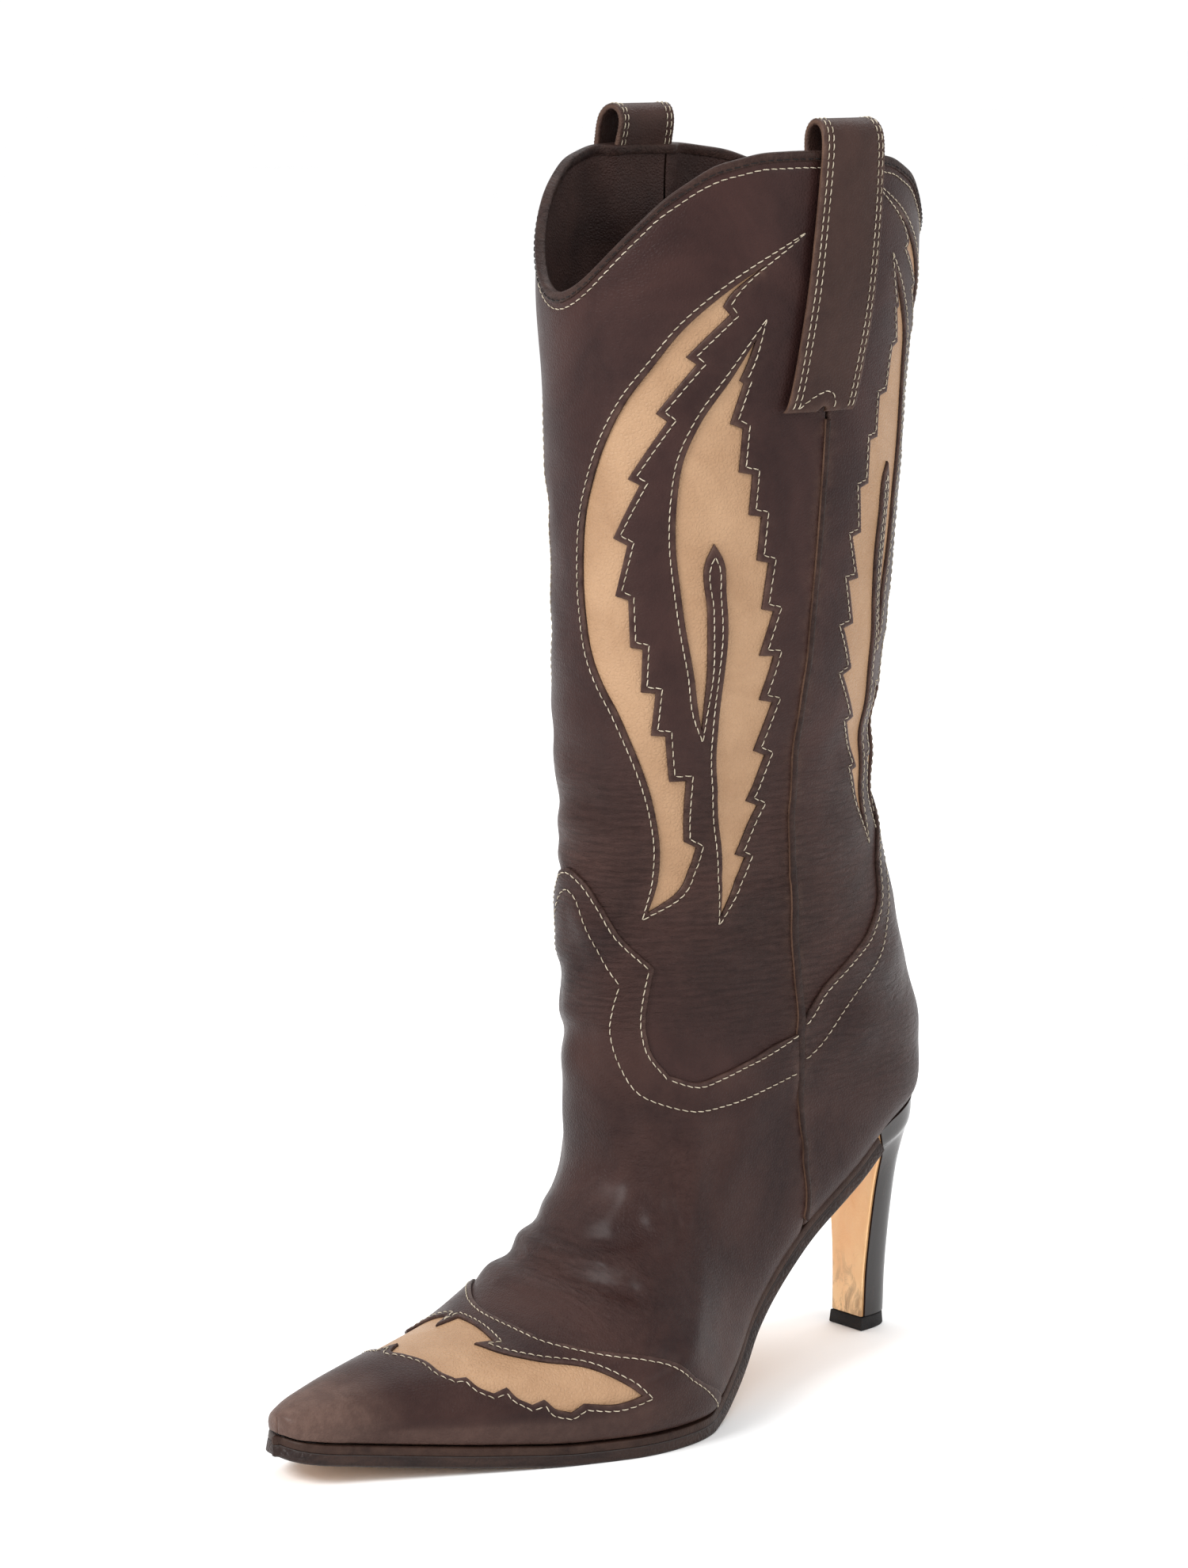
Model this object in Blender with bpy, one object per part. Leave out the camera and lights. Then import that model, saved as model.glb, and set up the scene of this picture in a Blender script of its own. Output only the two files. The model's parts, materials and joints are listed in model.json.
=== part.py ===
"""Tall pointed-toe cowboy boot for the left foot, on a slim high heel.

Metres, +Z up, toe towards -Y, outer (lateral) side towards +X.  The origin is the
centre of the heel top piece where it stands on the floor.  Every cut leather panel,
lining, stiffener, sole layer and heel part is its own closed solid.
"""
import collections
import math

import bpy
import numpy as np
from mathutils import Vector
from mathutils.geometry import delaunay_2d_cdt

MM = 0.001

# ---------------------------------------------------------------- boot shape
# Fan of cross-sections, toe tip first.  Each row, in millimetres:
# front/top edge Y Z, bottom/back edge Y Z, half width outer side, half width inner
# side, sideways shift, roundness of the top half, squareness of the bottom half,
# share of the section depth at which it is widest.
SECTIONS = np.array([
    (-248.5, 21.0, -248.5, 13.8, 0.0, 0.0, 0.0, 2.0, 2.6, 0.55),
    (-247.9, 21.5, -246.5, 13.0, 6.0, 6.0, 0.0, 2.0, 3.0, 0.57),
    (-242.5, 23.5, -241.5, 12.0, 10.0, 10.0, 0.0, 2.0, 4.0, 0.60),
    (-231.5, 26.8, -231.0, 10.6, 15.0, 14.0, 0.5, 2.0, 6.0, 0.62),
    (-212.7, 30.3, -212.0, 8.3, 24.5, 21.0, 1.0, 2.0, 6.5, 0.65),
    (-191.5, 33.3, -190.0, 6.2, 36.5, 28.0, 1.0, 2.0, 6.5, 0.66),
    (-171.3, 37.5, -166.0, 4.8, 48.5, 34.0, 1.0, 2.0, 6.5, 0.67),
    (-154.3, 46.0, -142.0, 4.8, 57.0, 37.5, 1.0, 2.0, 6.5, 0.67),
    (-141.8, 56.0, -120.0, 4.8, 56.5, 37.0, 1.0, 2.0, 6.5, 0.64),
    (-131.8, 67.0, -98.0, 11.2, 45.5, 33.5, 1.0, 2.0, 6.5, 0.60),
    (-125.8, 78.0, -77.0, 27.0, 34.6, 31.5, 1.0, 2.1, 6.5, 0.58),
    (-126.3, 97.0, -52.0, 47.3, 31.0, 30.5, 1.0, 2.2, 6.0, 0.58),
    (-127.8, 110.0, -25.0, 64.5, 31.2, 30.8, 0.5, 2.2, 5.5, 0.58),
    (-128.1, 122.0, -9.0, 74.0, 31.2, 30.8, 0.0, 2.2, 4.4, 0.56),
    (-128.4, 132.0, 11.0, 85.5, 32.0, 31.5, 0.0, 2.2, 3.0, 0.54),
    (-128.3, 143.0, 16.8, 100.0, 33.4, 32.8, 0.0, 2.2, 2.3, 0.52),
    (-128.8, 156.0, 15.7, 118.0, 34.0, 33.5, 0.0, 2.2, 2.0, 0.50),
    (-128.5, 175.0, 4.8, 148.0, 34.0, 34.0, 0.0, 2.1, 2.0, 0.50),
    (-128.5, 196.0, -6.4, 184.0, 35.1, 35.1, 0.0, 2.1, 2.0, 0.50),
    (-129.0, 214.0, -8.6, 211.0, 37.8, 37.8, 0.5, 2.1, 2.0, 0.50),
    (-129.3, 240.0, -5.6, 240.0, 41.8, 41.8, 1.0, 2.05, 2.0, 0.50),
    (-129.8, 270.0, -5.0, 270.0, 45.2, 45.2, 1.5, 2.0, 2.0, 0.50),
    (-131.0, 300.0, -3.6, 300.0, 47.8, 47.8, 2.0, 2.0, 2.0, 0.50),
    (-132.0, 330.0, -1.7, 330.0, 49.2, 49.2, 2.0, 2.0, 2.0, 0.50),
    (-133.8, 360.0, 1.0, 360.0, 51.8, 51.8, 2.0, 2.0, 2.0, 0.50),
    (-130.5, 388.0, 0.8, 388.0, 51.5, 51.5, 2.0, 2.0, 2.0, 0.50),
    (-125.0, 414.0, -1.6, 414.0, 49.8, 49.8, 2.0, 2.0, 2.0, 0.50),
])
FLAT_SECTIONS = (6, 7, 8)      # sections whose bottom edge runs level, at the ball
TIP_SPAN = 4.0                 # distance given to the first, rounded section step
HEEL_SECTION = 13              # last section whose bottom edge lies on the heel seat
SEAT_SLOPE = 0.40              # rise of the heel seat behind that section
SEAT_LIFT = ((-260.0, 1.2), (-240.0, 1.3), (-212.0, 1.5), (-190.0, 1.6), (-112.0, 1.6),
             (-85.0, 2.8), (-60.0, 3.5), (40.0, 3.5))  # sole face above the form, by Y

# Positions on the boot are (angle, along): the angle in degrees, 0 at the front or
# top, +90 on the outer side, 180 at the back or underneath, and the distance in
# millimetres from the toe tip.
MM_PER_DEGREE = 0.8            # length of one degree round the boot, roughly
STRETCH = 1.5                  # layout units per degree when a panel is divided up
ANGLE_STEP = 12.0
FOOT_STEP = 13.0               # spacing of rows along the foot, the ankle and the shaft
FOOT_END = 240.0
ANKLE_STEP = 17.0
ANKLE_END = 350.0
SHAFT_STEP = 36.0
NARROW_END = 72.0              # ahead of this only every other angle is used
EDGE_STEP = 18.0
EDGE_CLEAR = 6.0

# ---------------------------------------------------------------- leather layers
# Inner and outer face of each layer, measured from the boot shape, millimetres.
SHAFT_LAYER = (-1.2, 0.0)
INLAY_LAYER = (-3.1, -2.25)
SHAFT_LINING_LAYER = (-4.9, -4.0)
FOOT_LAYER = (-1.1, 0.0)
WING_LAYER = (-0.1, 0.9)
TOE_INLAY_LAYER = (-1.9, -1.0)
PUFF_LAYER = (-3.7, -2.8)
STIFFENER_LAYER = (-3.2, -1.9)
FOOT_LINING_LAYER = (-5.4, -4.5)
PIPING_LAYER = (0.5, 2.1)
LAP_RISE = 2.0                 # how far a foot panel climbs over the shaft
LAP_WIDTH = 11.0               # width of that lap
LAP_FADE = 14.0                # distance over which the climb dies out
WING_DIP = 0.9                 # how far the vamp sinks under the toe wing
DIP_FADE = 4.0
PUFF = (14.0, 58.0, 67.0)      # along: front edge, end of the sides, rear edge
STIFFENER_FRONT = 214.0        # along at the front of the heel stiffener
STIFFENER_DROP = 9.0           # heel stiffener below the foot of the shaft
LINING_FRONT = 24.0            # along at the front edge of the foot lining
LINING_GAP = 0.7

# ---------------------------------------------------------------- seams and edges
FRONT_CENTRE = -6.0            # angle of the front centre line of the shaft
BACK_CENTRE = 174.0
SEAM_HALF_GAP = 0.4            # millimetres from the seam line to a shaft panel
PIPING_HALF = 1.3
PIPING_GAP = 1.9               # millimetres from the seam line to a foot panel
SEAM = ((188.0, 133.0), (197.0, 121.0), (205.0, 109.0), (216.0, 98.0), (227.0, 91.0),
        (238.0, 85.5), (250.0, 83.0), (276.0, 84.0), (305.0, 87.5), (332.0, 89.5),
        (359.0, 89.0), (400.0, 88.0), (456.0, 88.0), (549.0, 88.0))
TOPLINE = ((-6.0, 492.4), (1.0, 493.8), (8.0, 497.6), (15.0, 503.6), (22.0, 510.4),
           (34.0, 522.4), (48.0, 532.2), (62.0, 536.0), (74.0, 536.5), (82.0, 536.3),
           (96.0, 536.0), (112.0, 533.5), (126.0, 528.0), (140.0, 517.0), (158.0, 507.0),
           (174.0, 504.0))
EDGE_INSET = 0.7               # top edge of the panels below the binding's fold
VAMP_TOP = ((81.5, 251.0), (76.0, 244.5), (69.0, 235.0), (63.0, 226.5), (55.0, 220.0),
            (46.0, 219.5), (40.0, 225.0), (36.5, 235.0), (36.0, 252.0), (38.0, 262.5),
            (26.0, 272.0), (16.0, 284.0), (5.0, 293.5), (-6.0, 297.0))
VAMP_SIDE = 250.0              # along where the vamp and the counter end at the seams
COUNTER_SIDE = 253.0
SHAFT_FRONT_FOOT = ((83.0, 240.0), (75.0, 228.0), (63.0, 215.5), (48.0, 211.0),
                    (34.0, 215.0), (28.0, 226.0), (27.0, 250.0), (17.0, 264.0),
                    (8.0, 278.0), (-6.0, 286.0))
COUNTER_TOP = ((83.5, 254.5), (91.0, 264.5), (104.0, 278.0), (117.0, 288.0),
               (126.0, 297.0), (137.0, 312.0), (152.0, 324.0), (174.0, 331.0))
SHAFT_BACK_FOOT = ((83.5, 243.0), (93.0, 253.5), (107.0, 268.0), (120.0, 279.5),
                   (130.0, 289.5), (141.0, 303.0), (155.0, 314.0), (174.0, 321.0))
WING_REAR = ((-130.0, 131.0), (-105.0, 127.0), (-80.0, 121.0), (-60.0, 114.0),
             (-46.0, 108.0), (-30.0, 99.0), (-12.0, 90.5), (6.0, 86.5), (18.0, 86.5),
             (33.0, 88.5), (46.0, 94.5), (56.0, 101.5), (64.0, 108.5), (77.0, 117.0),
             (101.0, 124.5), (130.0, 130.5))
WING_LAP = 3.2                 # vamp running forward under the wing
TOE_CENTRE = -14.0             # angle of the middle of the toe ornament
TOE_OUTER_SHARE = 0.9          # the inner-side half is this much narrower
TOE_CUT_REAR = ((-14.0, 72.0), (-9.0, 80.0), (4.0, 79.0), (21.5, 76.0), (18.5, 70.5),
                (31.0, 73.5), (43.0, 80.0), (57.0, 91.0), (71.0, 97.0), (84.0, 101.0))
TOE_CUT_FRONT = ((85.0, 93.0), (79.0, 84.0), (84.5, 80.0), (81.0, 76.5), (71.5, 74.0),
                 (74.5, 70.0), (69.0, 67.5), (58.0, 66.0), (61.5, 61.5), (56.0, 59.0),
                 (44.0, 57.5), (43.5, 54.5), (36.0, 52.5), (20.0, 52.0), (6.0, 50.0),
                 (-6.0, 49.0), (-14.0, 55.0))
TOE_INLAY_OUTLINE = ((-14.0, 81.5), (4.0, 81.0), (30.0, 80.5), (42.0, 85.5), (55.0, 93.5),
                     (69.0, 100.0), (86.0, 103.5), (92.0, 96.0), (91.0, 80.0), (82.0, 70.0),
                     (72.0, 61.0), (60.0, 53.0), (46.0, 48.5), (20.0, 46.0), (-4.0, 43.5),
                     (-14.0, 43.5))

# Feather cut-outs of the outer front quarter of the shaft, and how the same pattern is
# placed on the other quarters.  In front, on the inner side: the angle an edge at the
# first angle lands on, and the share of width.
PATTERN_FRONT = (-2.5, -24.0, -0.70)
# At the back: height in front and height there, the sideways bend at that height, and the
# angle from the seam beyond which the pattern is drawn together, with its share.
PATTERN_RISE = ((270.0, 305.0), (283.0, 316.0), (310.6, 338.6), (329.6, 354.1),
                (346.7, 370.3), (364.4, 385.9), (394.1, 415.4), (424.5, 445.6),
                (452.2, 474.2), (509.0, 524.0), (520.0, 533.0))
PATTERN_BEND = ((320.0, 15.5), (339.0, 15.0), (354.0, 14.5), (370.0, 9.0), (386.0, 5.0),
                (400.0, 3.0), (415.0, 1.5), (431.0, 0.0), (460.0, 0.6), (474.0, 2.7))
PATTERN_NEAR = (30.0, 0.85)
OUTER_FEATHER = ((64.6, 501.8), (59.3, 498.1), (52.4, 492.6), (43.0, 484.0), (32.0, 471.0),
                 (23.0, 460.5), (14.0, 446.5), (9.0, 436.0), (4.5, 424.0), (3.0, 410.0),
                 (4.0, 396.0), (7.0, 384.0), (14.0, 372.0), (22.0, 362.5), (31.0, 348.0),
                 (38.0, 331.5), (41.0, 316.0), (40.5, 300.0), (36.5, 283.9), (47.6, 295.4),
                 (52.2, 306.5), (54.1, 313.3), (49.9, 315.3), (50.3, 338.8), (44.2, 338.5),
                 (41.4, 355.1), (36.0, 355.3), (36.3, 369.3), (30.8, 369.7), (30.5, 383.5),
                 (25.7, 384.1), (24.2, 398.8), (18.9, 400.0), (23.3, 416.0), (17.6, 418.0),
                 (27.7, 435.0), (23.3, 436.7), (37.0, 454.8), (33.2, 457.2), (46.1, 472.3),
                 (42.8, 474.5), (55.7, 487.5), (53.6, 490.0), (54.5, 491.9))
INNER_FEATHER = ((63.6, 479.5), (57.0, 468.0), (47.5, 454.0), (42.5, 443.0), (40.5, 430.0),
                 (40.5, 416.0), (42.5, 403.0), (45.0, 391.0), (49.0, 376.0), (52.5, 362.0),
                 (54.0, 357.0), (53.5, 376.0), (52.0, 395.0), (50.5, 411.0), (53.0, 416.5),
                 (56.0, 412.0), (58.0, 400.0), (59.5, 388.0), (59.5, 374.0), (60.0, 352.0),
                 (62.0, 332.0), (63.0, 310.0), (61.1, 287.3), (67.4, 302.3), (71.0, 310.6),
                 (67.6, 311.5), (76.5, 329.6), (72.3, 331.1), (78.2, 346.7), (73.7, 348.5),
                 (77.9, 364.4), (73.1, 365.5), (75.7, 379.8), (70.7, 380.2), (74.2, 394.1),
                 (70.0, 395.1), (71.2, 409.7), (67.2, 410.7), (67.7, 424.5), (63.6, 425.2),
                 (64.1, 437.8), (59.8, 438.7), (60.7, 452.2), (56.7, 453.8), (60.5, 466.2),
                 (59.2, 467.0), (61.5, 472.7))
BACKING = ((69.0, 505.0), (60.0, 502.5), (40.0, 489.0), (25.0, 472.0), (10.0, 454.0),
           (0.0, 436.0), (-5.0, 416.0), (-4.0, 394.0), (2.0, 376.0), (14.0, 360.0),
           (25.0, 345.0), (31.0, 328.0), (32.0, 302.0), (29.0, 280.0), (36.0, 274.5),
           (62.0, 277.0), (71.0, 290.0), (79.0, 306.0), (84.0, 330.0), (84.0, 356.0),
           (82.0, 385.0), (79.0, 412.0), (75.0, 440.0), (72.0, 466.0), (72.0, 490.0),
           (71.5, 500.0))

# ---------------------------------------------------------------- pull straps
STRAP_HALF = 13.0
STRAP_THICK = 2.4
STRAP_MM_PER_DEGREE = 1.14     # length of one degree on the side of the shaft
STRAP_TAIL_T = 457.0
STRAP_TAIL_ANGLE = 83.0
STRAP_TOP_ANGLE = 91.0
STRAP_RISE_T = 536.0
STRAP_PEAKS = (546.0, 549.0)   # top of the outer and of the inner strap
STRAP_OUT = 2.8
STRAP_IN = -10.6
STRAP_INNER_LEG = -8.5
STRAP_INNER_T = 505.0

# ---------------------------------------------------------------- top binding
BINDING_DROP = 5.5
BINDING_THICK = 0.9
BINDING_OUT = 0.3
BINDING_IN = -5.6
BINDING_STEPS = 48

# ---------------------------------------------------------------- sole stack
# Heights of the sole layers from the underside of the upper, millimetres.
EDGE_LIFT = 0.6
WELT_LAYER = (-2.6, 0.0)
OUTSOLE_LAYER = (-6.4, -2.95)
INSOLE_LAYER = (0.45, 2.4)
SOCK_LAYER = (2.75, 3.6)
SHANK_LAYER = (-2.1, -0.9)
FILLER_LAYER = (-2.5, -0.3)
SOLE_PROUD = 2.5               # sole edge standing out from the upper at the forepart
SOLE_WAIST_PROUD = -0.6
WAIST_START = (-120.0, -85.0)  # Y range over which the sole edge draws in
WELT_WIDTH = 6.5
WELT_GAP = 2.2
INSOLE_INSET = 6.1
SOCK_INSET = 7.2
SOLE_STEP = 12.0
SOLE_END = -16.4               # Y where the outsole meets the heel breast
INSOLE_BACK = 7.0
TOE_ROUND = 9.0                # length of the round front end of a sole layer
HEEL_ROUND = 22.0
TOE_INSIDE = -239.0            # Y of the front end of the insole board
SHANK = (-88.0, -8.0, 5.5)     # front Y, rear Y, half width
GROOVE_CLEAR = 0.6
GROOVE_LAYER = (-2.7, 3.0)
FILLER = (-205.0, -124.0)      # front and rear Y of the cork filler

# ---------------------------------------------------------------- heel
# Heel core rings: height at Y 0, tilt, half width, breast Y, back Y.
HEEL_RINGS = ((4.9, 0.0, 6.2, -5.4, 6.2), (20.0, 0.0, 6.6, -5.1, 6.6),
              (34.0, 0.0, 7.8, -4.7, 7.3), (48.0, 0.0, 9.8, -4.6, 8.0),
              (57.0, 0.05, 11.8, -4.9, 8.4), (63.5, 0.18, 14.2, -6.0, 9.0),
              (69.5, 0.32, 17.2, -8.4, 9.8), (73.5, 0.42, 20.0, -11.4, 10.4))
HEEL_SEAT = (21.6, -14.0, 10.4)  # half width, breast Y, back Y of the top face
HEEL_SQUARE = 2.6
HEEL_POINTS = 11
COVER_GAP = 0.5
COVER_THICK = 0.8
BREAST_GAP = 0.45
BREAST_THICK = 1.1
BREAST_MARGIN = 0.4
TOP_PIECE = (7.8, -7.3, 7.6, 4.5)  # half width, breast Y, back Y, thickness
TOP_PIECE_FLARE = 0.3

# ---------------------------------------------------------------- fasteners
PIN_RADIUS = 1.1
PIN_SPAN = (2.0, 15.0)
PINS_X = (-2.6, 2.6)
SCREW = (0.0, 1.5, 1.8, 18.0)   # X, Y, radius, length
SCREW_HEAD = (3.4, 1.4)         # radius and height of the screw head
NAILS = ((-10.0, -3.5), (10.0, -3.5), (-6.5, 4.5), (6.5, 4.5))
NAIL = (0.9, 14.0)              # radius and length
HOLE_CLEAR = 0.35

# ---------------------------------------------------------------- colours
DARK_LEATHER = (0.045, 0.022, 0.017)
TAN_LEATHER = (0.55, 0.34, 0.17)
LINING = (0.035, 0.019, 0.016)
EDGE_BROWN = (0.09, 0.055, 0.04)


# ================================================================= boot form
def section_knots():
    """Distance along the boot and slope of every section value."""
    front = np.linalg.norm(np.diff(SECTIONS[:, 0:2], axis=0), axis=1)
    back = np.linalg.norm(np.diff(SECTIONS[:, 2:4], axis=0), axis=1)
    span = 0.5 * (front + back)
    span[0] = TIP_SPAN
    knots = np.concatenate([[0.0], np.cumsum(span)])
    span = span[:, None]
    slope = np.diff(SECTIONS, axis=0) / span
    tangent = np.zeros_like(SECTIONS)
    tangent[1:-1] = (slope[:-1] * span[1:] + slope[1:] * span[:-1]) / (span[1:] + span[:-1])
    tangent[0] = 1.5 * slope[0] - 0.5 * tangent[1]
    tangent[-1] = 1.5 * slope[-1] - 0.5 * tangent[-2]
    tangent[0, 0] = 0.0
    tangent[0, 2] = 0.0
    for index in FLAT_SECTIONS:
        tangent[index, 3] = 0.0
    return knots, tangent


KNOTS, TANGENTS = section_knots()


def section(along):
    """Section values at a distance along the boot."""
    along = np.clip(np.asarray(along, float), 0.0, KNOTS[-1])
    i = np.clip(np.searchsorted(KNOTS, along, side="right") - 1, 0, len(KNOTS) - 2)
    span = (KNOTS[i + 1] - KNOTS[i])[..., None]
    s = (along - KNOTS[i])[..., None] / span
    rise = s * s * (3 - 2 * s)
    return (SECTIONS[i] * (1 - rise) + SECTIONS[i + 1] * rise
            + span * (s * (1 - s) ** 2 * TANGENTS[i] - s * s * (1 - s) * TANGENTS[i + 1]))


def form(angle, along):
    """Point of the bare boot shape, millimetres."""
    q = section(along)
    turn = np.radians(angle)
    c, s = np.cos(turn), np.sin(turn)
    blend = np.clip((c + 0.35) / 0.7, 0.0, 1.0)
    blend = blend * blend * (3 - 2 * blend)
    power = q[..., 8] + (q[..., 7] - q[..., 8]) * blend
    reach = (np.abs(c) ** power + np.abs(s) ** power) ** (-1.0 / power)
    half = np.where(s >= 0, q[..., 4], q[..., 5])
    widest = q[..., 9]
    share = np.where(c >= 0, widest * (1 - reach * c), widest - (1 - widest) * reach * c)
    x = q[..., 6] + reach * s * half
    y = q[..., 0] + (q[..., 2] - q[..., 0]) * share
    z = q[..., 1] + (q[..., 3] - q[..., 1]) * share
    return np.stack([x, y, z], axis=-1)


def form_normal(angle, along):
    """Outward unit normal of the boot shape."""
    along = np.clip(along, 0.5, KNOTS[-1] - 0.3)
    step_along, step_angle = 0.25, 0.6
    rise = form(angle, along + step_along) - form(angle, along - step_along)
    turn = form(angle + step_angle, along) - form(angle - step_angle, along)
    out = np.cross(turn, rise)
    return out / np.linalg.norm(out, axis=-1, keepdims=True)


def on_form(angle, along, depth):
    """Point at a depth from the boot shape, millimetres."""
    angle, along = np.asarray(angle, float), np.asarray(along, float)
    depth = np.broadcast_to(np.asarray(depth, float), along.shape)
    point = form(angle, along) + form_normal(angle, along) * depth[..., None]
    tip = along <= 0.0
    point[..., 0] = np.where(tip, 0.0, point[..., 0])
    return point


def seat_curve():
    """Underside line of the upper seen from the side: rows of Y and Z."""
    along = np.linspace(0.0, KNOTS[HEEL_SECTION], 160)
    q = section(along)
    line = q[:, 2:4]
    end = line[-1]
    beyond = np.array([(end[0] + d, end[1] + SEAT_SLOPE * d) for d in (10.0, 20.0, 40.0)])
    before = np.array([(line[0, 0] - 10.0, line[0, 1])])
    curve = np.concatenate([before, line, beyond])
    lift = np.array(SEAT_LIFT)
    curve[:, 1] += np.interp(curve[:, 0], lift[:, 0], lift[:, 1])
    return curve


SEAT = seat_curve()


def seat_height(y):
    return np.interp(y, SEAT[:, 0], SEAT[:, 1])


# ================================================================= outline helpers
def densify(points, step):
    """Extra points on the straight stretches of a closed outline in the flat layout."""
    points = [tuple(p) for p in points]
    out = []
    for a, b in zip(points, points[1:] + points[:1]):
        length = math.hypot((b[0] - a[0]) * STRETCH, b[1] - a[1])
        count = max(1, math.ceil(length / step))
        for i in range(count):
            share = i / count
            out.append((a[0] + (b[0] - a[0]) * share, a[1] + (b[1] - a[1]) * share))
    return out


def flat(points, scale=STRETCH):
    return np.array([(p[0] * scale, p[1]) for p in points], float)


def inside(points, loop):
    """Even-odd test of many points against one closed loop."""
    x, y = points[:, 0], points[:, 1]
    result = np.zeros(len(points), bool)
    for a, b in zip(loop, np.roll(loop, -1, axis=0)):
        cross = (a[1] > y) != (b[1] > y)
        if cross.any():
            level = a[0] + (y - a[1]) * (b[0] - a[0]) / np.where(b[1] == a[1], 1.0, b[1] - a[1])
            result ^= cross & (x < level)
    return result


def distance(points, line, closed=False):
    """Distance of many points from a polyline."""
    best = np.full(len(points), np.inf)
    ends = np.roll(line, -1, axis=0) if closed else line[1:]
    for a, b in zip(line, ends):
        side = b - a
        share = np.clip(((points - a) @ side) / max(side @ side, 1e-12), 0.0, 1.0)
        best = np.minimum(best, np.linalg.norm(points - a - share[:, None] * side, axis=1))
    return best


def mirrored(points, centre):
    return [(2 * centre - a, t) for a, t in points]


def both_sides(points, centre):
    """A half line that ends on the centre, continued by its mirror image."""
    return list(points) + mirrored(points[-2::-1], centre)


def seam_angle(along):
    table = np.array(SEAM)
    return np.interp(along, table[:, 0], table[:, 1])


def seam_line(t_from, t_to, shift, inner_side, step=12.0):
    """Seam as (angle, along) points, shifted sideways by millimetres towards the back."""
    count = max(2, math.ceil(abs(t_to - t_from) / step))
    line = []
    for along in np.linspace(t_from, t_to, count + 1):
        half = max(float(section(along)[4]), 1.0)
        angle = float(seam_angle(along)) + math.degrees(shift / (half * 1.15))
        if inner_side:
            angle = 2 * FRONT_CENTRE - angle
        line.append((angle, float(along)))
    return line


def topline_t(angle):
    table = np.array(both_sides([(a, t) for a, t in TOPLINE][::-1], FRONT_CENTRE))
    turned = (np.asarray(angle, float) - FRONT_CENTRE + 180.0) % 360.0 - 180.0 + FRONT_CENTRE
    order = np.argsort(table[:, 0])
    return np.interp(turned, table[order, 0], table[order, 1])


def topline(angle_from, angle_to, drop, step=8.0):
    count = max(2, math.ceil(abs(angle_to - angle_from) / step))
    return [(float(a), float(topline_t(a)) - drop)
            for a in np.linspace(angle_from, angle_to, count + 1)]


def lasting_angle(along, depth, inner_side):
    """Angle at which a layer at this depth comes down to the sole."""
    sign = -1.0 if inner_side and along > 0.0 else 1.0
    angles = np.linspace(70.0, 180.0, 441)
    points = on_form(sign * angles, np.full_like(angles, along), depth)
    low = points[:, 2] - seat_height(points[:, 1]) < EDGE_LIFT
    if not low.any():
        return 180.0
    first = int(np.argmax(low))
    return float(angles[max(first - 1, 0)])


def heel_end():
    """Distance along the boot at which the upper closes round the back of the heel."""
    for along in np.arange(KNOTS[HEEL_SECTION] - 4.0, KNOTS[HEEL_SECTION + 2], 0.1):
        if lasting_angle(along, 0.0, False) >= 179.5:
            return float(along)
    return float(KNOTS[HEEL_SECTION + 1])


HEEL_END = heel_end()


def lasting_line(t_from, t_to, depth, inner_side, step=11.0):
    """Lower edge of the upper as (angle, along) points."""
    count = max(2, math.ceil(abs(t_to - t_from) / step))
    line = []
    for along in np.linspace(t_from, t_to, count + 1):
        angle = lasting_angle(float(along), depth, inner_side)
        line.append((-angle if inner_side else angle, float(along)))
    return line


def heel_line(seam_t, inner_side, depth=0.0):
    """Lower edge of the counter, from the side seam round to the back centre."""
    share = np.sin(np.linspace(0.0, math.pi / 2, 9))
    line = []
    for along in seam_t + (HEEL_END - seam_t) * share:
        angle = lasting_angle(float(along), depth, inner_side)
        line.append((360.0 - angle if inner_side else angle, float(along)))
    return line


# ================================================================= solids
def new_object(name, vertices, faces, colour, roughness, metallic=0.0, smooth=40.0):
    mesh = bpy.data.meshes.new(name)
    mesh.from_pydata([tuple(float(c) * MM for c in v) for v in vertices], [], faces)
    mesh.validate()
    obj = bpy.data.objects.new(name, mesh)
    bpy.context.scene.collection.objects.link(obj)
    obj.data.materials.append(material(name, colour, roughness, metallic))
    obj.data.shade_smooth()
    obj.data.set_sharp_from_angle(angle=math.radians(smooth))
    return obj


def material(name, colour, roughness, metallic):
    mat = bpy.data.materials.new(name)
    mat.use_nodes = True
    shader = mat.node_tree.nodes["Principled BSDF"]
    shader.inputs["Base Color"].default_value = (*colour, 1.0)
    shader.inputs["Roughness"].default_value = roughness
    shader.inputs["Metallic"].default_value = metallic
    return mat


def layout_points(loops):
    """Grid points inside the first loop and outside the others, clear of every edge."""
    low, high = loops[0].min(axis=0), loops[0].max(axis=0)
    rows = list(np.arange(FOOT_STEP, FOOT_END, FOOT_STEP))
    rows += list(np.arange(FOOT_END, ANKLE_END, ANKLE_STEP))
    rows += list(np.arange(ANKLE_END, KNOTS[-1], SHAFT_STEP))
    columns = np.arange(-30, 31) * ANGLE_STEP * STRETCH
    grid = np.array([(x, y) for y in rows
                     for x in (columns[::2] if y < NARROW_END else columns)
                     if low[0] < x < high[0] and low[1] < y < high[1]])
    if len(grid) == 0:
        return grid.reshape(0, 2)
    keep = inside(grid, loops[0])
    for loop in loops[1:]:
        keep &= ~inside(grid, loop)
    for loop in loops:
        keep &= distance(grid, loop, closed=True) > EDGE_CLEAR
    return grid[keep]


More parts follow.
